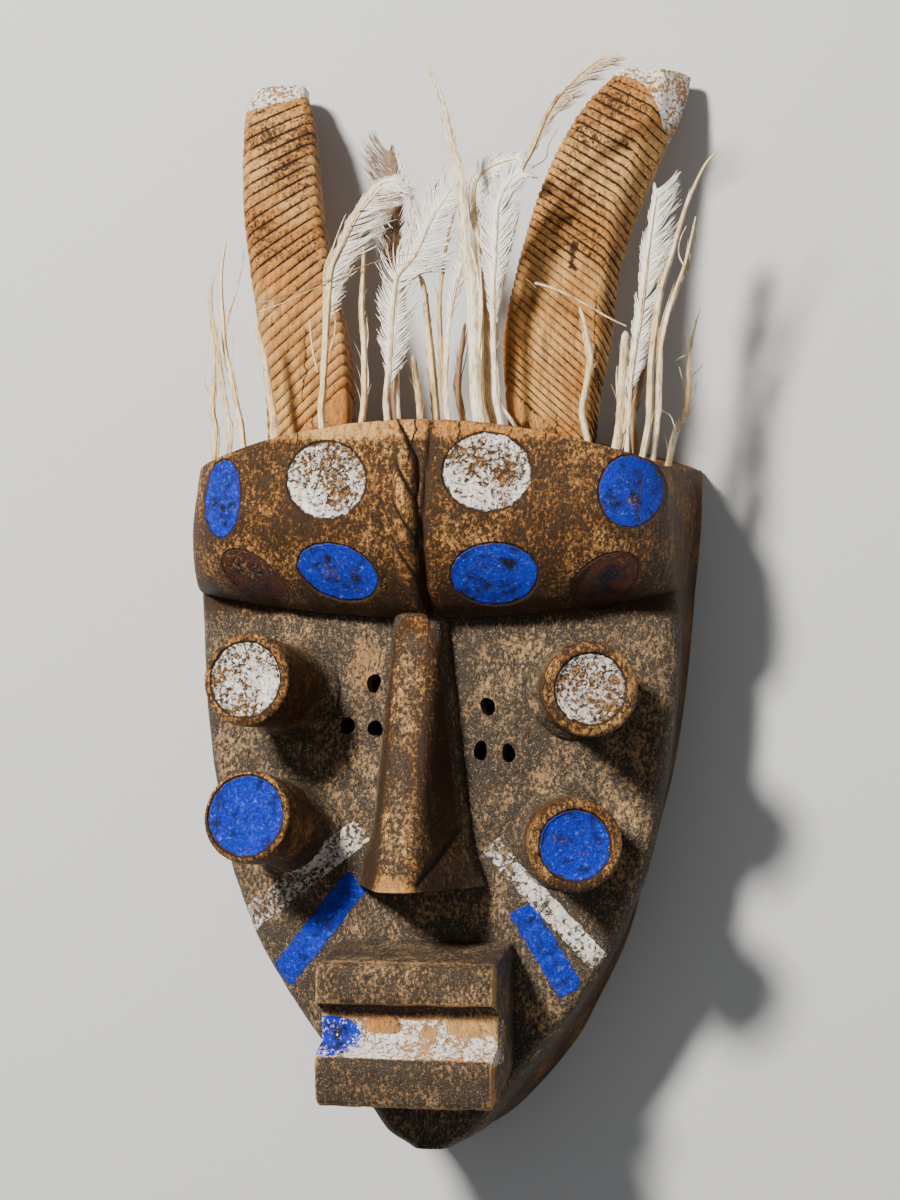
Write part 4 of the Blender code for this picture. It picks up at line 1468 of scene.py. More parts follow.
def new_group(name: str, kind: str, inputs: dict, outputs: dict) -> tuple:
    """Start a node group with named sockets.

    Args:
        name: The group's name.
        kind: The tree's type.
        inputs: The inputs' kinds by name.
        outputs: The outputs' kinds by name.

    Returns:
        The group, its graph, its given values by name and its output node.
    """
    group = bpy.data.node_groups.new(name, kind)
    for way, sockets in (("INPUT", inputs), ("OUTPUT", outputs)):
        for label, socket in sockets.items():
            group.interface.new_socket(label, in_out=way, socket_type=f"NodeSocket{socket}")
    graph = Graph(group)
    given = graph.node("NodeGroupInput").outputs
    values = {label: Value(graph, given[label]) for label in inputs}
    return group, graph, values, graph.node("NodeGroupOutput")


def place_group(graph: Graph, group: bpy.types.NodeTree, values: dict) -> dict:
    """Place a node group in a tree with its own values.

    Args:
        graph: The tree to place it in.
        group: The group.
        values: Its inputs' values by name.

    Returns:
        The group's outputs by name.
    """
    made = graph.node("ShaderNodeGroup", node_tree=group)
    for name, value in values.items():
        graph.feed(made.inputs[name], value)
    return {socket.name: Value(graph, socket) for socket in made.outputs}


def grain_group() -> bpy.types.NodeTree:
    """Make the group that gives a fibrous surface's streaks and its fine pits.

    Returns:
        The group.
    """
    group, graph, given, result = new_group("fibre_grain", "ShaderNodeTree", {
        "Vector": "Vector", "Scale": "Float", "Pits": "Float"}, {"Streaks": "Float", "Pits": "Float"})
    fibres = graph.stretch(given["Vector"], (1.0, 0.16, 1.0))
    graph.feed(result.inputs["Streaks"], graph.noise(fibres, given["Scale"], 5.0, 0.65, 0.4))
    fine = graph.noise(fibres, given["Scale"] * 3.7, 3.0, 0.7)
    graph.feed(result.inputs["Pits"], graph.step(fine, graph.math("SUBTRACT", 0.62, given["Pits"]), 0.68))
    return group


def crack_group() -> bpy.types.NodeTree:
    """Make the group that gives the hairline cracks and the zigzag hatch beside the braid.

    Returns:
        The group.
    """
    group, graph, given, result = new_group("crack_lines", "ShaderNodeTree", {"Vector": "Vector"},
                                            {"Line": "Float"})
    parts = graph.node("ShaderNodeSeparateXYZ")
    graph.feed(parts.inputs[0], given["Vector"])
    x, y, z = (Value(graph, socket) for socket in parts.outputs)
    wander = (graph.noise(given["Vector"], 90.0, 4.0) - 0.5) * (9 * MM)
    lines = []
    for place, low, high, half in CRACKS:
        line = graph.step(graph.math("ABSOLUTE", x - wander - place), half, 0.4 * half)
        lines.append(line * (graph.step(y, low, low + 6 * MM) * graph.step(y, high, high - 4 * MM)))
    apart = graph.math("ABSOLUTE", x - HATCH_PLACE - graph.math("PINGPONG", y, 3.2 * MM))
    hatch = graph.step(apart, 0.7 * MM, 0.3 * MM) * graph.step(y, 0.289, 0.295) * graph.step(y, 0.352, 0.346)
    graph.feed(result.inputs["Line"], graph.most(lines + [hatch * 0.6]) * graph.step(z, 0.04, 0.05))
    return group


@dataclass(frozen=True)
class PaintedWood:
    """The mask's finish: worn wood under a dark handled patina, with chalky paints."""
    name: str = "painted_wood"
    tan: tuple = (0.58, 0.33, 0.112, 1.0)
    orange: tuple = (0.47, 0.195, 0.042, 1.0)
    patina: tuple = (0.019, 0.009, 0.0035, 1.0)
    # grey patina for the cheeks and the mouth, also the dark part of the painted sheen on the nose's ridge
    grey_patina_and_sheen: tuple = (0.020, 0.016, 0.011, 1.0)
    film_brow: tuple = (0.152, 0.062, 0.014, 1.0)
    # grey film for the cheeks and the mouth, also the painted sheen on the nose's ridge
    grey_film_and_sheen: tuple = (0.200, 0.145, 0.092, 1.0)
    dust: tuple = (0.62, 0.50, 0.36, 1.0)
    # dark tint for dirt on the blue and brown paints, and for their painted shade in the middle of the scooped discs
    grime_and_shade: tuple = (0.006, 0.007, 0.016, 1.0)
    white: tuple = (0.82, 0.77, 0.70, 1.0)
    cream: tuple = (0.64, 0.47, 0.27, 1.0)
    blue: tuple = (0.004, 0.022, 0.43, 1.0)
    pale_blue: tuple = (0.15, 0.26, 0.82, 1.0)
    brown: tuple = (0.075, 0.020, 0.010, 1.0)

    def build(self, grain: bpy.types.NodeTree, cracks: bpy.types.NodeTree) -> bpy.types.Material:
        """Make the material.

        Args:
            grain: The group that gives the wood's grain.
            cracks: The group that gives the cracks and the hatched band.

        Returns:
            The material.
        """
        material, graph, shader = start_material(self.name)
        step, mix, noise_at = graph.step, graph.mix, graph.noise
        place, tall = graph.place(), graph.place((1.0, 0.68, 1.0))
        fibres = place_group(graph, grain, {"Vector": place, "Scale": 260.0, "Pits": 0.04})
        streaks, line = fibres["Streaks"], place_group(graph, cracks, {"Vector": place})["Line"]
        worn, sunk, bare, soot_and_shade, core, grey_and_sheen, rounds = (
            graph.attribute(name) for name in ("worn", "sunk", "bare", "soot_and_shade", "core", "grey_and_sheen", "rounds"))
        broad, patches = noise_at(place, 22.0, 3.0, 0.55), noise_at(tall, 85.0, 4.0)
        flecks, specks = noise_at(tall, 560.0, 6.0, 0.72, 0.3), noise_at(place, 1250.0, 3.0, 0.7)
        wood = mix(step(broad, 0.35, 0.62), self.tan, self.orange)
        wood = mix(step(streaks, 0.62, 0.30), wood, mix(0.65, wood, self.film_brow))
        outline = step(rounds, -0.3, 0.2) * step(rounds, 1.5, 0.5)
        cut = graph.most([line, outline * 0.75])
        # cover also rises where painted shade lies: under the brow, beside the braid, on the nose's flanks, in
        # grooves and hollows
        cover = (flecks * 0.72 + patches * 0.26 + specks * 0.30 + broad * 0.22 - worn * 0.10 + sunk * 0.13
                 - bare * 0.118 + grey_and_sheen * 0.015 + soot_and_shade * 0.11 + cut * 0.25)
        dark = step(cover, 0.715, 0.775)
        # grey films and patina: real grey patina on the cheeks and the mouth, painted sheen on the nose's ridge
        wood = mix(step(cover, 0.628, 0.695) * 0.80, wood, mix(grey_and_sheen, self.film_brow, self.grey_film_and_sheen))
        wood = mix(dark * 0.92, wood, mix(grey_and_sheen, self.patina, self.grey_patina_and_sheen))
        colour = mix(step(specks, 0.60, 0.67) * (grey_and_sheen * 0.75), wood, self.dust)

        chips = noise_at(place, 430.0, 6.0, 0.72, 0.6)
        ragged, dirt = noise_at(place, 260.0, 4.0, 0.65), noise_at(place, 130.0, 5.0, 0.65)
        films = []
        for paint, base, pale, lost, rubbed in (
                (Paint.BROWN, self.brown, self.brown, 0.42, 0.0), (Paint.BLUE, self.blue, self.pale_blue,
                                                                   0.32, 0.10),
                (Paint.WHITE, self.white, self.white, 0.505, 0.17)):
            reach = graph.attribute(paint.value) + (ragged - 0.5) * 4.2
            strength = chips + patches * 0.35 + (broad - 0.5) * 0.4 - line * 0.3 - core * rubbed
            films.append(step(reach, 0.35, -0.25) * step(strength, lost + 0.12, lost + 0.19))
            tone = mix(step(chips, 0.54, 0.68) * 0.65, base, pale)
            if paint is Paint.WHITE:
                stain = step(dirt, 0.48, 0.66) * 0.45 + core * 0.9
                tone = mix(graph.math("MULTIPLY", stain, 0.8, clamp=True), tone, self.cream)
                tone = mix(step(streaks, 0.50, 0.32) * 0.35, tone, self.film_brow)
            else:
                # blue and brown darken with dirt, and with painted shade in the middle of the scooped discs
                dirt_and_shade = step(dirt, 0.50, 0.66) + core * step(dirt, 0.36, 0.60)
                tone = mix(graph.math("MULTIPLY", dirt_and_shade, 0.75, clamp=True), tone, self.grime_and_shade)
            colour = mix(films[-1], colour, tone)
        painted = graph.most(films)
        graph.feed(shader.inputs["Base Color"], colour)
        rough = graph.math("ADD", dark * -0.16 + 0.66, painted * 0.22, clamp=True)
        graph.feed(shader.inputs["Roughness"], rough)
        shader.inputs["Specular IOR Level"].default_value = 0.26
        height = (dark * 0.35 + streaks * 0.8 + painted * 0.6 + flecks * 1.1 + patches * 0.8 + specks * 0.35
                  - fibres["Pits"] * 0.5 - cut * 1.4)
        graph.bump(shader, height, 0.95, 1.0 * MM)
        return material


class Tint(Enum):
    """How pale or brown a quill or a vane is: the value that its finish reads."""
    WHITE = 0.0
    CREAM = 0.22
    TAN = 0.5
    BROWN = 0.85


class Sketch:
    """Collects closed rods and makes them one mesh."""

    def __init__(self) -> None:
        """Start with nothing."""
        self.points: list = []
        self.faces: list = []
        self.tones: list = []

    def rod(self, line: Array, radii: Array, tone: float, sides: int = 8, seed: int = 0, rough: float = 0.2) -> None:
        """Add a closed rod along a line, with an uneven section as a split reed has.

        Args:
            line: The rod's middle line.
            radii: Its radius at each point of the line.
            tone: How brown it is.
            sides: How many sides it has.
            seed: Chooses the section's shape.
            rough: How uneven the section is.
        """
        chance = np.random.default_rng(seed)
        ahead = np.gradient(line, axis=0)
        ahead /= np.maximum(np.linalg.norm(ahead, axis=1), 1e-9)[:, None]
        across = np.cross(np.array([0.0, 0.0, 1.0]), ahead)
        across /= np.maximum(np.linalg.norm(across, axis=1), 1e-6)[:, None]
        upward = np.cross(ahead, across)
        angle = np.linspace(0, 2 * math.pi, sides, endpoint=False)
        uneven = 1 - rough * chance.random(sides)
        drift = 1 - 0.5 * rough * chance.random((len(line), 1))
        reach = radii[:, None] * uneven * drift
        rings = line[:, None, :] + (reach * np.cos(angle))[..., None] * across[:, None, :] \
            + (reach * np.sin(angle))[..., None] * upward[:, None, :]
        start = len(self.points)
        count = len(line)
        index = start + np.arange(count * sides).reshape(count, sides)
        following = np.roll(index, -1, axis=1)
        quads = np.stack([index[:-1], following[:-1], following[1:], index[1:]], axis=-1).reshape(-1, 4)
        self.points += rings.reshape(-1, 3).tolist()
        self.faces += quads.tolist() + [index[0][::-1].tolist(), index[-1].tolist()]
        self.tones += [tone] * (count * sides)

    def finish(self, name: str) -> Piece:
        """Make the collected rods one object.

        Args:
            name: The object's name.

        Returns:
            The object.
        """
        mesh = bpy.data.meshes.new(name)
        mesh.from_pydata(self.points, [], self.faces)
        store_value(mesh, "tone", np.array(self.tones))
        turn_outwards(mesh)
        mesh.shade_smooth()
        mesh.set_sharp_from_angle(angle=math.radians(40))
        made = bpy.data.objects.new(name, mesh)
        bpy.context.scene.collection.objects.link(made)
        return made


def curve_through(points: Array, count: int) -> Array:
    """Give evenly spaced points on a smooth curve through some points.

    Args:
        points: The points to pass through.
        count: How many points to give.

    Returns:
        The curve's points.
    """
    steps = np.concatenate([[0.0], np.cumsum(np.linalg.norm(np.diff(points, axis=0), axis=1))])
    stations = np.column_stack([steps / steps[-1], points])
    share = np.linspace(0, 1, count)
    return np.stack([between(stations, share, axis) for axis in (1, 2, 3)], axis=1)


def barb_group() -> bpy.types.NodeTree:
    """Make the node tree that grows barbs along a feather's shaft.

    The mesh that it works on is one or more shaft lines. Each point carries the barb's length
    in reach, its side (1 or -1) in side and the angle to the shaft in lean.

    Returns:
        The node tree.
    """
    group, graph, given, result = new_group("barbs_along_shaft", "GeometryNodeTree", {
        "Geometry": "Geometry", "Spacing": "Float", "Width": "Float", "Curl": "Float", "Ruffle": "Float",
        "Gaps": "Float", "Seed": "Int", "Material": "Material"}, {"Geometry": "Geometry"})
    make = graph.make

    def chance(low: float, high: float, shift: int) -> Value:
        """Give a random value for each barb."""
        return make("FunctionNodeRandomValue", {2: low, 3: high, "Seed": given["Seed"] + shift}, 1,
                    data_type="FLOAT")

    def named(label: str) -> Value:
        """Read a value stored on the geometry."""
        return make("GeometryNodeInputNamedAttribute", {"Name": label}, data_type="FLOAT")

    def store(geometry: Value, label: str, value: Value) -> Value:
        """Store a value on each point of the geometry."""
        return make("GeometryNodeStoreNamedAttribute", {"Geometry": geometry, "Name": label, "Value": value},
                    data_type="FLOAT", domain="POINT")

    def above(value: Value, limit: object) -> Value:
        """Tell where a value is above a limit."""
        return make("FunctionNodeCompare", {"A": value, "B": limit}, data_type="FLOAT",
                    operation="GREATER_THAN")

    shaft = make("GeometryNodeMeshToCurve", {"Mesh": given["Geometry"]})
    spaced = make("GeometryNodeResampleCurve", {"Curve": shaft, "Length": given["Spacing"]}, mode="LENGTH")
    points = store(spaced, "luck", chance(0.0, 1.0, 1))
    points = store(points, "long", named("reach") * chance(0.82, 1.08, 2))
    straight = make("GeometryNodeCurvePrimitiveLine", {"End": (1, 0, 0)})
    barb = make("GeometryNodeResampleCurve", {"Curve": straight, "Count": 6}, mode="COUNT")
    tangent, spots = make("GeometryNodeInputTangent", {}), make("GeometryNodeInputPosition", {})
    align = make("FunctionNodeAlignRotationToVector", {"Vector": tangent}, axis="X")
    sway = chance(-0.07, 0.07, 3) + (graph.noise(spots, 150.0, 1.0) - 0.5) * 1.1
    turn = make("FunctionNodeAxisAngleToRotation",
                {"Axis": (0, 0, 1), "Angle": named("side") * (named("lean") + sway)})
    aim = make("FunctionNodeRotateRotation", {"Rotation": align, "Rotate By": turn}, rotation_space="LOCAL")
    lucky = named("luck") + (graph.noise(spots, 95.0, 2.0) - 0.5) * 3.0
    chosen = make("FunctionNodeBooleanMath", {0: above(named("long"), 0.8 * MM),
                                              1: above(lucky, given["Gaps"])},
                  operation="AND")
    whole = make("ShaderNodeCombineXYZ", {axis: named("long") for axis in range(3)})
    grown = make("GeometryNodeInstanceOnPoints", {
        "Points": points, "Instance": barb, "Rotation": aim, "Scale": whole, "Selection": chosen})
    real = make("GeometryNodeRealizeInstances", {"Geometry": grown})

    along = make("GeometryNodeSplineParameter", {}, "Factor")
    squared = along * along
    beside = make("ShaderNodeVectorMath", {0: (0, 0, 1), 1: tangent}, operation="CROSS_PRODUCT")
    bend = named("side") * given["Curl"] * -1.0 + (named("luck") - 0.5) * given["Ruffle"]
    sideways = make("ShaderNodeVectorMath", {0: beside, "Scale": bend * squared * named("long")},
                    operation="SCALE")
    wave = graph.math("SINE", named("luck") * 40.0)
    lift = (wave * given["Ruffle"] - 0.14) * squared * named("long")
    upward = make("ShaderNodeCombineXYZ", {"Z": lift})
    offset = make("ShaderNodeVectorMath", {0: sideways, 1: upward}, operation="ADD")
    bent = make("GeometryNodeSetPosition", {"Geometry": real, "Offset": offset})
    flat = make("GeometryNodeSetCurveNormal", {"Curve": bent}, mode="Z_UP")
    slim = given["Width"] * graph.math("SUBTRACT", 1.0, squared * 0.72)
    sized = make("GeometryNodeSetCurveRadius", {"Curve": flat, "Radius": slim})
    section = make("GeometryNodeCurvePrimitiveCircle", {"Resolution": 4, "Radius": 1.0}, mode="RADIUS")
    flatter = make("GeometryNodeTransform", {"Geometry": section, "Scale": (1.0, 0.4, 1.0)})
    swept = make("GeometryNodeCurveToMesh", {
        "Curve": sized, "Profile Curve": flatter, "Scale": slim, "Fill Caps": True})
    done = make("GeometryNodeRealizeInstances", {"Geometry": store(swept, "tone", named("tone"))})
    dressed = make("GeometryNodeSetMaterial", {"Geometry": done, "Material": given["Material"]})
    graph.feed(result.inputs["Geometry"], dressed)
    return group


@dataclass
class Vane:
    """The barbs on one side of a shaft: where they grow, how long and how steep they are."""
    side: int
    stations: tuple
    lean: float = 0.9
    tint: Tint = Tint.WHITE
    gaps: float = 0.0


@dataclass
class Twig:
    """A straw, splinter or barb caught on a quill, by its points in the photograph's frame."""
    points: tuple
    radius: float
    tint: Tint = Tint.CREAM
    ahead: float = 0.0


@dataclass
class Quill:
    """A quill in its hole on the crown, with its strands, twigs and vanes."""
    name: str
    across: float
    setback: float
    radius: float
    path: tuple
    tip: float = 0.35
    tint: Tint = Tint.CREAM
    strands: int = 3
    spread: float = 1.2 * MM
    vanes: tuple = ()
    twigs: tuple = ()
    curl: float = 0.22
    spacing: float = 0.42 * MM
    width: float = 0.34 * MM
    frays: int = 9
    socket: float = 12 * MM
    play: float = 0.3 * MM
    lean_back: float = 0.03

    def foot(self, form: MaskForm) -> Array:
        """Give the middle of the quill's hole where it opens in the crown.

        Args:
            form: The mask's sizes.

        Returns:
            The place, in metres.
        """
        x = self.across * form.plate_half_width
        top = float(form.row_height(1.0, x / form.plate_half_width))
        return np.array([x, top, float(form.face_depth(x, 1.0)) - self.setback])

    def line(self, form: MaskForm, studio: "Studio") -> Array:
        """Give the quill's middle line, from the bottom of its hole to its tip.

        Args:
            form: The mask's sizes.
            studio: The view that the paths were read in.

        Returns:
            The line's points.
        """
        foot = self.foot(form)
        points = [studio.spot(px, py, foot[2], foot[1], self.lean_back) for px, py in self.path]
        points = np.array([point for point in points if point[1] > foot[1] + 9 * MM])
        ahead = points[0] - foot
        down = foot - ahead / np.linalg.norm(ahead) * (self.socket - self.play)
        return curve_through(np.vstack([down, foot, points]), 52)

    def hole(self, form: MaskForm, studio: "Studio") -> Piece:
        """Make the quill's hole as a cutter.

        Args:
            form: The mask's sizes.
            studio: The view that the paths were read in.

        Returns:
            The cutter.
        """
        line = self.line(form, studio)
        foot = self.foot(form)
        ahead = (foot - line[0]) / np.linalg.norm(foot - line[0])
        across = np.cross(np.array([0, 0, 1.0]), ahead)
        across /= np.linalg.norm(across)
        upward = np.cross(ahead, across)
        angle = np.linspace(0, 2 * math.pi, 14, endpoint=False)
        rings = []
        for place in np.linspace(-self.socket, 6 * MM, 4):
            ring = foot + ahead * place + (self.radius + self.play) * (
                np.cos(angle)[:, None] * across + np.sin(angle)[:, None] * upward)
            rings.append(ring)
        return loft(f"hole_{self.name}", np.array(rings))

    def build(self, form: MaskForm, studio: "Studio", barbs: bpy.types.NodeTree, finishes: dict,
              seed: int) -> Piece:
        """Make the quill with all that hangs on it.

        Args:
            form: The mask's sizes.
            studio: The view that the paths were read in.
            barbs: The node tree that grows the barbs.
            finishes: The materials, by slot.
            seed: Chooses the strands' places.

        Returns:
            The finished piece.
        """
        chance = np.random.default_rng(seed)
        line = self.line(form, studio)
        share = np.clip((np.arange(len(line)) - 3) / (len(line) - 4), 0, 1)
        sketch = Sketch()
        radii = 0.94 * self.radius * (1 - (1 - self.tip) * share ** 2.2)
        radii[-2:] *= (0.75, 0.35)
        sketch.rod(line, radii, self.tint.value, 9, seed)
        for strand in range(self.strands):
            first = int(chance.integers(6, 16))
            last = int(chance.integers(34, len(line)))
            part = line[first:last]
            t = np.linspace(0, 1, len(part))
            turn = chance.uniform(0, 2 * math.pi)
            out = np.array([math.cos(turn), 0.0, 0.7 * math.sin(turn)])
            wave = 0.25 * np.sin(t * chance.uniform(5, 11) + turn)
            offset = radii[first:last] * 0.72 + self.spread * (t ** 2.5) * (0.4 + 0.8 * chance.random())
            offset = offset + radii[first:last] * wave
            radius = self.radius * chance.uniform(0.26, 0.42) * (1 - 0.75 * t ** 1.5) * smooth_step(0, 0.08,
                                                                                                    t + 0.02)
            tone = min(self.tint.value + chance.uniform(-0.15, 0.3), 1.0)
            sketch.rod(part + offset[:, None] * out, radius, tone, 5, seed + strand, 0.3)
        for fray in range(self.frays):
            first = int(chance.integers(8, len(line) - 8))
            ahead = line[first + 4] - line[first]
            ahead /= np.linalg.norm(ahead)
            out = np.array([chance.choice([-1.0, 1.0]), 0.0, chance.uniform(-0.3, 0.6)])
            t = np.linspace(0, 1, 7)[:, None]
            reach = chance.uniform(4, 13) * MM
            base = line[first] + out * radii[first] * 0.7
            course = base + ahead * reach * t + out * reach * chance.uniform(0.06, 0.34) * t ** 1.7
            radius = chance.uniform(0.22, 0.5) * MM * (1 - 0.8 * t[:, 0])
            tone = min(self.tint.value + chance.uniform(-0.1, 0.35), 1.0)
            sketch.rod(course, radius, tone, 4, seed + 70 + fray, 0.3)
        foot = self.foot(form)
        for number, twig in enumerate(self.twigs):
            points = np.array([studio.spot(across, down, foot[2] + twig.ahead, foot[1], self.lean_back)
                               for across, down in twig.points])
            course = curve_through(points, 14)
            t = np.linspace(0, 1, 14)
            course[:, 2] += 0.4 * MM * np.sin(5 * t + number)
            sketch.rod(course, twig.radius * (1 - 0.6 * t ** 1.5), twig.tint.value, 6, seed + 40 + number,
                       0.35)
        piece = sketch.finish(f"{self.name}_dressed")
        piece.data.materials.append(finishes[Slot.QUILL])
        if self.vanes:
            piece = self.add_vanes(piece, line, barbs, finishes[Slot.FEATHER], seed)
        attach(piece, BODY)
        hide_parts(self.name)
        return piece

    def add_vanes(self, piece: Piece, line: Array, barbs: bpy.types.NodeTree,
                  material: bpy.types.Material, seed: int) -> Piece:
        """Grow the barbs along the shaft and join them to the piece.

        Args:
            piece: The shaft with its strands.
            line: The shaft's middle line.
            barbs: The node tree that grows the barbs.
            material: The vane's material.
            seed: Chooses the barbs' small differences.

        Returns:
            The joined piece.
        """
        points, edges, values = [], [], {"reach": [], "side": [], "lean": [], "tone": []}
        share = np.linspace(0, 1, len(line))
        for vane in self.vanes:
            start = len(points)
            reach = np.interp(share, *np.array(vane.stations).T, left=0, right=0) * MM
            for index, point in enumerate(line):
                points.append(point)
                values["reach"].append(reach[index])
                values["side"].append(vane.side)
                values["lean"].append(vane.lean)
                values["tone"].append(vane.tint.value)
            edges += [(start + index, start + index + 1) for index in range(len(line) - 1)]
        mesh = bpy.data.meshes.new(f"{self.name}_shaft")
        mesh.from_pydata([tuple(point) for point in points], edges, [])
        for label, column in values.items():
            store_value(mesh, label, np.array(column))
        grower = bpy.data.objects.new(f"{self.name}_vane", mesh)
        bpy.context.scene.collection.objects.link(grower)
        change = grower.modifiers.new("barbs", "NODES")
        change.node_group = barbs
        sizes = {"Spacing": self.spacing, "Width": self.width, "Curl": self.curl, "Ruffle": 0.16,
                 "Gaps": self.vanes[0].gaps, "Seed": seed, "Material": material}
        for item in barbs.interface.items_tree:
            if item.item_type == "SOCKET" and item.in_out == "INPUT" and item.name in sizes:
                change[item.identifier] = sizes[item.name]
        depsgraph = bpy.context.evaluated_depsgraph_get()
        grown = bpy.data.meshes.new_from_object(grower.evaluated_get(depsgraph))
        bpy.data.objects.remove(grower, do_unlink=True)
        body = bmesh.new()
        body.from_mesh(piece.data)
        count = len(body.faces)
        body.from_mesh(grown)
        body.faces.ensure_lookup_table()
        for face in body.faces[count:]:
            face.material_index = 1
            face.smooth = True
        body.to_mesh(piece.data)
        body.free()
        bpy.data.meshes.remove(grown)
        piece.data.materials.append(material)
        return piece


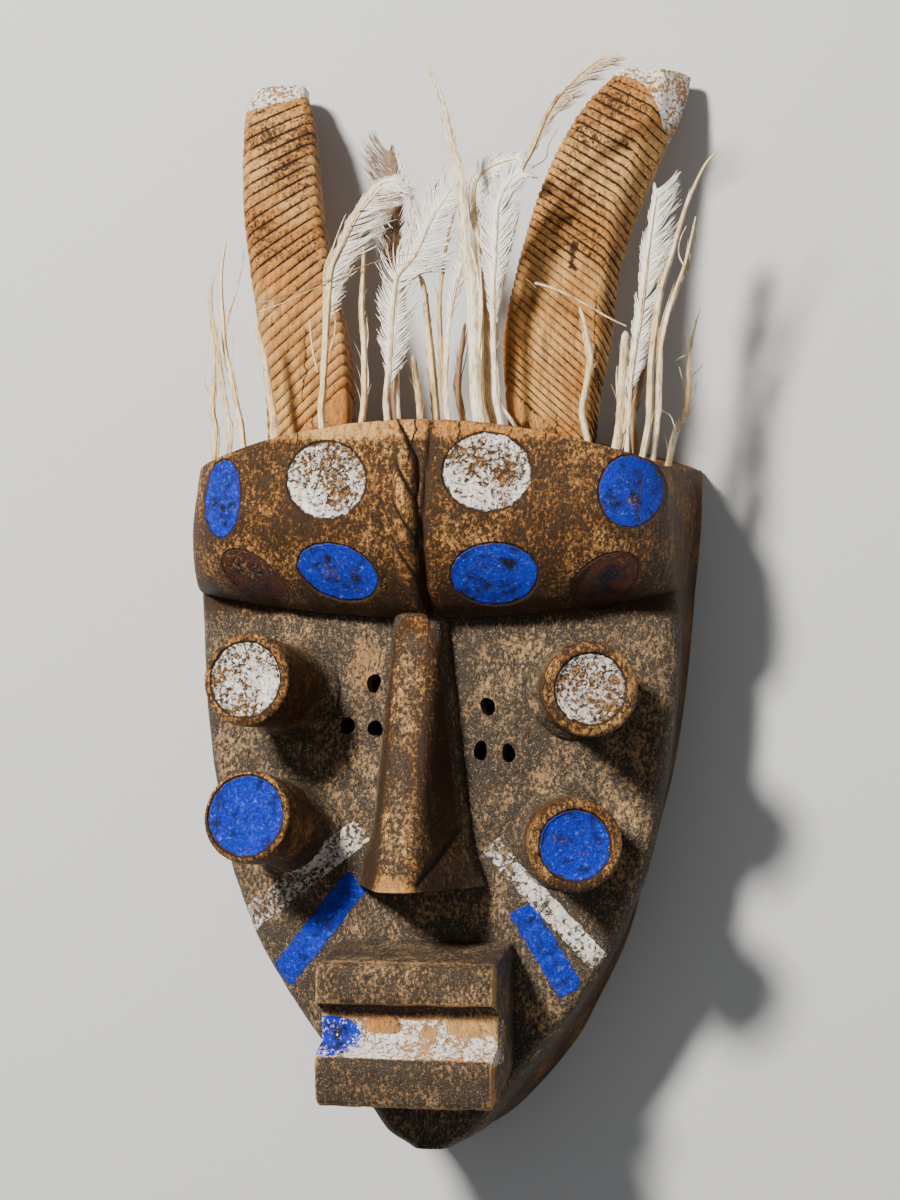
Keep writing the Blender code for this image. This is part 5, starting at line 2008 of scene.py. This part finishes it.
def crown_row() -> tuple:
    """Give the quills and feathers from the left to the right of the crown.

    Returns:
        The row.
    """
    down, up = -1, 1
    return (
        Quill("quill_01", -0.905, 13 * MM, 2.1 * MM, ((216, 430), (213, 410), (214, 385), (215, 359)), twigs=(
            Twig(((203.5, 378), (206, 386), (210, 396)), 0.7 * MM),)),
        Quill("quill_02", -0.820, 11 * MM, 2.1 * MM,
              ((230, 427), (226, 410), (219, 362), (217, 341), (213, 324), (211, 300), (212, 286),
               (215, 274)),
              spread=2 * MM),
        Quill("quill_03", -0.765, 18 * MM, 2.1 * MM,
              ((241, 423), (237, 406), (230, 369), (225, 347), (223, 318), (221, 288), (222, 267), (224, 252),
               (226, 239)),
              twigs=(Twig(((227, 324), (231, 308), (235, 297), (239, 280), (242, 264), (245, 243)), 0.9 * MM),
                     Twig(((226, 340), (235, 338), (243, 339)), 0.4 * MM, Tint.TAN),
                     Twig(((231.5, 333), (233, 345), (232, 365)), 0.4 * MM, Tint.TAN))),
        Quill("quill_04", -0.615, 9 * MM, 2.3 * MM, ((273, 416), (270, 399), (265, 362), (258, 333),
                                                     (254, 324)), tip=0.5),
        Quill("feather_05", -0.405, 9 * MM, 2.5 * MM,
              ((321, 408), (323, 391), (324, 362), (326, 333), (328, 303), (329, 287), (331, 267), (340, 246),
               (353, 218),
               (368, 197), (381, 184), (400, 179)),
              tip=0.2, strands=6, spread=4 * MM, vanes=(
                  Vane(up, ((0.44, 0), (0.5, 5), (0.62, 6), (0.9, 6), (1.0, 6)), 0.6, Tint.CREAM),
                  Vane(down, ((0.42, 0), (0.46, 10), (0.54, 16), (0.60, 24), (0.72, 25), (0.84, 22),
                              (0.94, 18), (1.0, 10)), 1.0, Tint.CREAM),
              ), twigs=(Twig(((318, 372), (313, 350), (309, 321)), 1.0 * MM, Tint.TAN),
                        Twig(((330, 352), (335, 330), (334, 308)), 0.9 * MM, Tint.TAN),
                        Twig(((258, 304), (290, 294), (318, 284), (350, 271), (385, 259), (423, 252)),
                             0.6 * MM, Tint.BROWN, 3 * MM),
                        Twig(((259.5, 312), (280, 304), (298, 296), (320, 286)), 0.55 * MM, Tint.TAN,
                             3 * MM))),
        Quill("feather_06", -0.135, 34 * MM, 2.0 * MM, ((393, 400), (394, 340), (394, 255), (394, 191),
                                                        (389, 152)),
              tip=0.25, tint=Tint.BROWN, strands=2, vanes=(
                  Vane(up, ((0.42, 0), (0.48, 10), (0.6, 14), (0.74, 16), (0.84, 26), (0.95, 22), (1.0, 14)),
                       0.85, Tint.BROWN),
                  Vane(down, ((0.5, 0), (0.6, 9), (0.8, 11), (0.95, 9), (1.0, 5)), 0.7, Tint.BROWN))),
        Quill("quill_07", -0.245, 14 * MM, 2.3 * MM,
              ((364.3, 400), (364.5, 380), (364, 342), (362, 314), (362.6, 285), (364, 248)), tip=0.5),
        Quill("quill_08", -0.110, 25 * MM, 2.0 * MM,
              ((397, 395), (397, 370), (400, 323), (406, 272), (408, 240), (413, 210), (410, 190), (400, 165),
               (395, 149)),
              tint=Tint.WHITE, twigs=(Twig(((380, 229), (384, 240), (387, 255)), 0.8 * MM, Tint.TAN),)),
        Quill("feather_09", -0.140, 17 * MM, 2.2 * MM,
              ((386, 400), (389, 370), (392, 323), (397, 278), (406, 266), (415, 255), (430, 223), (442, 203),
               (455, 184)),
              tip=0.2, tint=Tint.WHITE, spacing=0.55 * MM, vanes=(
                  Vane(up, ((0.22, 0), (0.3, 10), (0.42, 13), (0.52, 14), (0.62, 20), (0.75, 24), (0.9, 20),
                            (1.0, 12)), 0.85),
                  Vane(down, ((0.16, 0), (0.24, 12), (0.42, 17), (0.52, 20), (0.58, 30), (0.66, 28),
                              (0.8, 16), (0.92, 12), (1.0, 8)), 0.95))),
        Quill("quill_10", 0.000, 15 * MM, 2.1 * MM, ((418, 393), (415, 375), (413, 355)), tip=0.7,
              tint=Tint.TAN),
        Quill("quill_11", 0.046, 27 * MM, 2.8 * MM, ((434, 393), (432, 370), (427.5, 323), (423, 285),
                                                     (419, 274)),
              tip=0.6, tint=Tint.TAN),
        Quill("feather_12", 0.115, 16 * MM, 2.0 * MM, ((445.5, 395), (446, 370), (449, 323), (453, 299),
                                                       (460, 270), (466, 252)),
              tint=Tint.WHITE, vanes=(
                  Vane(up, ((0.6, 0), (0.7, 8), (0.85, 9), (1.0, 5)), 0.8, Tint.WHITE, 0.2),
                  Vane(down, ((0.6, 0), (0.75, 8), (0.9, 8), (1.0, 5)), 0.8, Tint.CREAM, 0.2))),
        Quill("quill_13", 0.100, 22 * MM, 1.6 * MM, ((443, 395), (441.6, 376), (440, 299), (447, 240),
                                                     (453, 218), (456, 208)),
              tint=Tint.TAN, strands=2),
        Quill("quill_14", 0.150, 31 * MM, 2.3 * MM, ((458, 395), (460, 361), (465, 323)), tip=0.5,
              tint=Tint.BROWN,
              spread=2.5 * MM),
        Quill("quill_15", 0.250, 9 * MM, 4.4 * MM,
              ((476, 396), (475.5, 376), (474, 332), (472.5, 288), (469.6, 266), (465, 244), (464, 216),
               (462, 190),
               (458, 165), (450.6, 139), (445.5, 114), (439, 91), (431.5, 74), (429, 62)),
              tip=0.22, tint=Tint.WHITE, strands=5, spread=1.4 * MM, twigs=(
                  Twig(((479, 350), (482, 310), (480, 266)), 1.3 * MM, Tint.CREAM, 1 * MM),
                  Twig(((443, 122), (437, 113), (432, 105)), 0.8 * MM, Tint.CREAM),
                  Twig(((470, 280), (463, 262), (459, 240)), 0.7 * MM, Tint.TAN))),
        Quill("feather_16", 0.245, 35 * MM, 2.1 * MM,
              ((482, 396), (481, 340), (480, 290), (478, 240), (474, 205), (477, 180), (492, 166),
               (519, 158)),
              tip=0.25, tint=Tint.TAN, strands=5, spread=4 * MM, vanes=(
                  Vane(up, ((0.66, 0), (0.72, 9), (0.85, 10), (0.95, 8), (1.0, 7)), 0.75),
                  Vane(down, ((0.6, 0), (0.7, 12), (0.8, 19), (0.92, 19), (1.0, 10)), 0.85))),
        Quill("feather_17", 0.290, 22 * MM, 2.3 * MM,
              ((487.5, 396), (487, 330), (487, 251), (504, 207), (521, 170), (531, 152), (542, 126.5),
               (547.5, 114), (560, 95),
               (573, 81), (588, 68), (602, 59), (615, 54.5)),
              tip=0.14, tint=Tint.TAN, strands=3, vanes=(
                  Vane(up, ((0.64, 0), (0.7, 3), (0.9, 3), (1.0, 2)), 0.5, Tint.TAN),
                  Vane(down, ((0.66, 0), (0.74, 9), (0.82, 16), (0.92, 15), (0.98, 10), (1.0, 5)), 0.75,
                       Tint.TAN),
              ), twigs=(Twig(((523, 174), (535, 166), (545, 160), (547, 156), (549, 144), (558, 128)),
                             0.5 * MM, Tint.BROWN),)),
        Quill("feather_18", 0.335, 9 * MM, 2.1 * MM,
              ((495.5, 396), (494.5, 376), (493, 332), (493, 288), (494.5, 259), (496, 229), (498, 203),
               (510, 180), (522, 172)),
              tip=0.2, tint=Tint.WHITE, vanes=(
                  Vane(up, ((0.40, 0), (0.5, 8), (0.6, 14), (0.75, 17), (0.9, 14), (1.0, 8)), 0.75),
                  Vane(down, ((0.36, 0), (0.5, 8), (0.6, 15), (0.75, 22), (0.88, 18), (1.0, 10)), 0.75))),
        Quill("quill_19", 0.370, 25 * MM, 1.3 * MM, ((498, 396), (497, 340), (500, 300), (509, 254),
                                                     (519.5, 212)),
              tint=Tint.WHITE, strands=1),
        Quill("quill_20", 0.680, 9 * MM, 2.2 * MM,
              ((582, 412), (586.5, 385), (590.6, 360), (587.6, 340), (583.5, 320),
               (579.4, 307)), tip=0.5, twigs=(
                  Twig(((535, 283), (554.6, 289), (579.6, 301), (597, 311), (613, 320), (626, 326)), 1.1 * MM,
                       Tint.TAN, 2 * MM),
                  Twig(((526, 279), (530, 282), (536, 288)), 0.5 * MM, Tint.BROWN, 2 * MM))),
        Quill("quill_21", 0.795, 9 * MM, 3.3 * MM, ((621, 420), (622, 390), (625.7, 331)), tip=0.75,
              strands=4),
        Quill("feather_22", 0.812, 27 * MM, 2.0 * MM,
              ((628, 405), (630.4, 381), (635.5, 344), (641.6, 299), (647.8, 252),
               (657, 190)), tip=0.25, tint=Tint.WHITE,
              vanes=(
                  Vane(up, ((0.3, 0), (0.42, 7), (0.6, 9), (0.8, 8), (1.0, 5)), 0.6),
                  Vane(down, ((0.26, 0), (0.34, 10), (0.5, 14), (0.7, 18), (0.85, 20), (1.0, 16)), 0.85))),
        Quill("quill_23", 0.835, 35 * MM, 2.6 * MM, ((633, 415), (640, 385), (646, 344)), tip=0.5,
              tint=Tint.BROWN),
        Quill("quill_24", 0.890, 10 * MM, 2.5 * MM,
              ((648.5, 425), (650, 405), (651, 364.5), (656, 324), (662, 287), (672, 254), (680, 226),
               (686.5, 205), (695, 185),
               (707, 162), (720, 149)), tip=0.3, strands=4, spread=1.6 * MM),
        Quill("quill_25", 0.912, 22 * MM, 2.0 * MM,
              ((657, 425), (658, 405), (660, 354), (666, 320), (674, 295), (684.5, 266.5), (690.6, 242),
               (695.7, 216.5)),
              strands=4, spread=2.2 * MM, twigs=(
                  Twig(((684, 266), (679, 255), (680, 240), (686, 226)), 0.6 * MM, Tint.WHITE),
                  Twig(((675, 290), (688, 270), (690, 250)), 0.6 * MM, Tint.WHITE),
                  Twig(((660, 410), (670, 415.5), (674.7, 426.7)), 0.6 * MM, Tint.WHITE, 2 * MM))),
        Quill("quill_26", 0.950, 36 * MM, 2.1 * MM,
              ((676, 430), (684.5, 413.5), (688.6, 391), (688.6, 364.5), (690.6, 344), (696.7, 317.6),
               (700.4, 306)),
              strands=3, twigs=(
                  Twig(((688, 356), (682, 357), (675, 361)), 0.6 * MM), Twig(((686, 390), (682, 378),
                                                                              (679, 366.5)), 0.6 * MM),
                  Twig(((689, 377), (697, 371), (704, 363.5)), 0.6 * MM), Twig(((692, 399), (695, 389),
                                                                                (697, 381)), 0.6 * MM),
                  Twig(((688.6, 415), (692, 409), (695, 404)), 0.6 * MM))),
    )


@dataclass(frozen=True)
class DryStalk:
    """A dry split quill: pale, fibrous and browner in places."""
    name: str = "dry_stalk"
    white: tuple = (0.84, 0.74, 0.54, 1.0)
    cream: tuple = (0.68, 0.50, 0.24, 1.0)
    brown: tuple = (0.22, 0.115, 0.045, 1.0)

    def build(self, grain: bpy.types.NodeTree) -> bpy.types.Material:
        """Make the material.

        Args:
            grain: The group that gives the fibres' streaks.

        Returns:
            The material.
        """
        material, graph, shader = start_material(self.name)
        streaks = place_group(graph, grain, {"Vector": graph.place(), "Scale": 900.0,
                                             "Pits": 0.10})["Streaks"]
        stains = graph.noise(graph.place((1.0, 0.3, 1.0)), 160.0, 4.0)
        tone = graph.math("ADD", graph.attribute("tone"), (stains - 0.46) * 1.5, clamp=True)
        colour = graph.mix(graph.step(tone, 0.0, 0.42), self.white, self.cream)
        colour = graph.mix(graph.step(tone, 0.42, 0.95), colour, self.brown)
        colour = graph.mix(graph.step(streaks, 0.54, 0.36) * 0.7, colour, self.brown)
        graph.feed(shader.inputs["Base Color"], colour)
        shader.inputs["Roughness"].default_value = 0.62
        graph.bump(shader, streaks, 0.6, 0.3 * MM)
        return material


@dataclass(frozen=True)
class SoftVane:
    """A feather's vane: white, cream or brown, with a soft mottle."""
    name: str = "soft_vane"
    white: tuple = (0.84, 0.80, 0.72, 1.0)
    cream: tuple = (0.62, 0.48, 0.31, 1.0)
    brown: tuple = (0.17, 0.095, 0.05, 1.0)

    def build(self) -> bpy.types.Material:
        """Make the material.

        Returns:
            The material.
        """
        material, graph, shader = start_material(self.name)
        mottle = graph.noise(graph.place(), 120.0, 3.0)
        tone = graph.math("ADD", graph.attribute("tone"), (mottle - 0.5) * 0.6, clamp=True)
        colour = graph.mix(graph.step(tone, 0.05, 0.45), self.white, self.cream)
        colour = graph.mix(graph.step(tone, 0.40, 0.95), colour, self.brown)
        graph.feed(shader.inputs["Base Color"], colour)
        shader.inputs["Roughness"].default_value = 0.72
        shader.inputs["Sheen Weight"].default_value = 0.25
        shader.inputs["Sheen Roughness"].default_value = 0.5
        return material


@dataclass(frozen=True)
class PlainFloor:
    """The studio floor's finish."""
    name: str = "studio_floor"
    colour: tuple = (0.52, 0.52, 0.51, 1.0)
    roughness: float = 0.9

    def build(self) -> bpy.types.Material:
        """Make the material.

        Returns:
            The material.
        """
        material, _, shader = start_material(self.name)
        shader.inputs["Base Color"].default_value = self.colour
        shader.inputs["Roughness"].default_value = self.roughness
        return material


@dataclass
class Studio:
    """The pale floor, the soft lights and the camera above the lying mask."""
    turn: float = math.radians(12.5)
    distance: float = 2.0
    pixel: float = 0.535 * MM
    target: tuple = (0.0126, 0.2908, 0.10)
    long_side: int = 1200

    def spot(self, across: float, down: float, depth: float, foot: float, lean: float) -> Array:
        """Give the point behind a place in the photograph's frame, on a plane that leans back.

        Args:
            across: The place across the frame, in its pixels.
            down: The place down the frame, in its pixels.
            depth: The plane's height above the floor at its foot.
            foot: The plane's foot, up the mask.
            lean: How much the plane falls back for each metre up the mask.

        Returns:
            The point, in metres.
        """
        right = np.array([math.cos(self.turn), 0, -math.sin(self.turn)])
        back = np.array([math.sin(self.turn), 0, math.cos(self.turn)])
        eye = np.array(self.target) + self.distance * back
        unit = self.pixel / self.distance
        ray = right * (across - 450) * unit + np.array([0, 1, 0]) * (600 - down) * unit - back
        normal = np.array([0, lean, 1.0])
        reach = (normal @ np.array([0, foot, depth]) - normal @ eye) / (normal @ ray)
        return eye + reach * ray

    def floor(self) -> Piece:
        """Make the floor as a wide thin slab whose top lies at the rim's plane.

        Returns:
            The slab.
        """
        floor = slab("studio_floor", 3.0, -0.02)
        floor.data.materials.append(PlainFloor().build())
        return floor

    def light(self, name: str, place: tuple, size: float, power: float, colour: tuple) -> None:
        """Add a soft square light that faces the mask.

        Args:
            name: The light's name.
            place: Where it stands, in metres.
            size: Its side, in metres.
            power: Its power, in watts.
            colour: Its colour.
        """
        data = bpy.data.lights.new(name, "AREA")
        data.size = size
        data.energy = power
        data.color = colour
        lamp = bpy.data.objects.new(name, data)
        lamp.location = place
        lamp.rotation_euler = (Vector(place) - Vector(self.target)).to_track_quat("Z", "Y").to_euler()
        bpy.context.scene.collection.objects.link(lamp)

    def camera(self) -> None:
        """Add the camera at the photograph's angle."""
        data = bpy.data.cameras.new("camera")
        data.sensor_fit = "VERTICAL"
        data.sensor_height = 36.0
        data.lens = 36.0 * self.distance / (self.long_side * self.pixel)
        eye = bpy.data.objects.new("camera", data)
        eye.location = Vector(self.target) + self.distance * Vector((math.sin(self.turn), 0,
                                                                     math.cos(self.turn)))
        eye.rotation_euler = (0, self.turn, 0)
        bpy.context.scene.collection.objects.link(eye)
        bpy.context.scene.camera = eye

    def build(self) -> None:
        """Set up the floor, the lights and the camera."""
        self.floor()
        self.light("key", (-0.9, 1.5, 2.2), 0.36, 182.0, (1.0, 0.97, 0.92))
        self.light("fill", (1.6, -0.4, 1.8), 1.8, 6.0, (0.90, 0.95, 1.0))
        self.light("top", (0.0, 0.4, 2.6), 2.2, 6.0, (1.0, 1.0, 1.0))
        world = bpy.data.worlds.new("studio")
        world.use_nodes = True
        world.node_tree.nodes["Background"].inputs["Color"].default_value = (0.9, 0.93, 1.0, 1.0)
        world.node_tree.nodes["Background"].inputs["Strength"].default_value = 0.13
        bpy.context.scene.world = world
        self.camera()


def report(piece: Piece) -> None:
    """Report a finished piece."""
    piece.data.calc_loop_triangles()
    LOG.info("%s: %d triangles", piece.name, len(piece.data.loop_triangles))


def main() -> None:
    """Build the pieces in order and report each."""
    logging.basicConfig(level=logging.INFO, format="%(message)s")
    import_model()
    studio = Studio()
    studio.build()
    grain = grain_group()
    finishes = {Slot.WOOD: PaintedWood().build(grain, crack_group()), Slot.QUILL: DryStalk().build(grain),
                Slot.FEATHER: SoftVane().build()}
    discs = tuple(Disc(x * MM, y * MM, long * MM, short * MM, turn, paint) for x, y, long, short, turn,
                  paint in (
        (-107.7, 345.1, 20.9, 11.3, 90, Paint.BLUE), (-47.2, 354.3, 22.0, 20.1, -18, Paint.WHITE),
        (39.9, 358.0, 22.8, 20.3, -9, Paint.WHITE), (113.6, 347.8, 18.7, 14.8, 93, Paint.BLUE),
        (-91.0, 302.4, 19.8, 11.0, -38, Paint.BROWN), (-42.5, 305.6, 22.1, 14.2, -14, Paint.BLUE),
        (42.3, 304.5, 22.7, 15.6, 7, Paint.BLUE), (98.9, 301.0, 20.5, 10.5, 33, Paint.BROWN),
    ))
    stripes = (
        Stripe((-0.0376, 0.1667), (-0.112, 0.110), 7 * MM, Paint.WHITE),
        Stripe((-0.0400, 0.1400), (-0.084, 0.086), 7.5 * MM, Paint.BLUE),
        Stripe((0.0331, 0.1596), (0.0912, 0.0973), 5.6 * MM, Paint.WHITE),
        Stripe((0.0490, 0.1260), (0.0767, 0.0813), 7 * MM, Paint.BLUE),
    )
    mask = Mask(discs=discs, stripes=stripes)
    row = crown_row()
    piece = mask.build([quill.hole(mask.form, studio) for quill in row])
    piece.data.materials.clear()
    piece.data.materials.append(finishes[Slot.WOOD])
    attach(piece, BODY)
    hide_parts("mask")
    report(piece)
    barbs = barb_group()
    for seed, quill in enumerate(row):
        piece = quill.build(mask.form, studio, barbs, finishes, seed)
        report(piece)


if __name__ == "__main__":
    main()
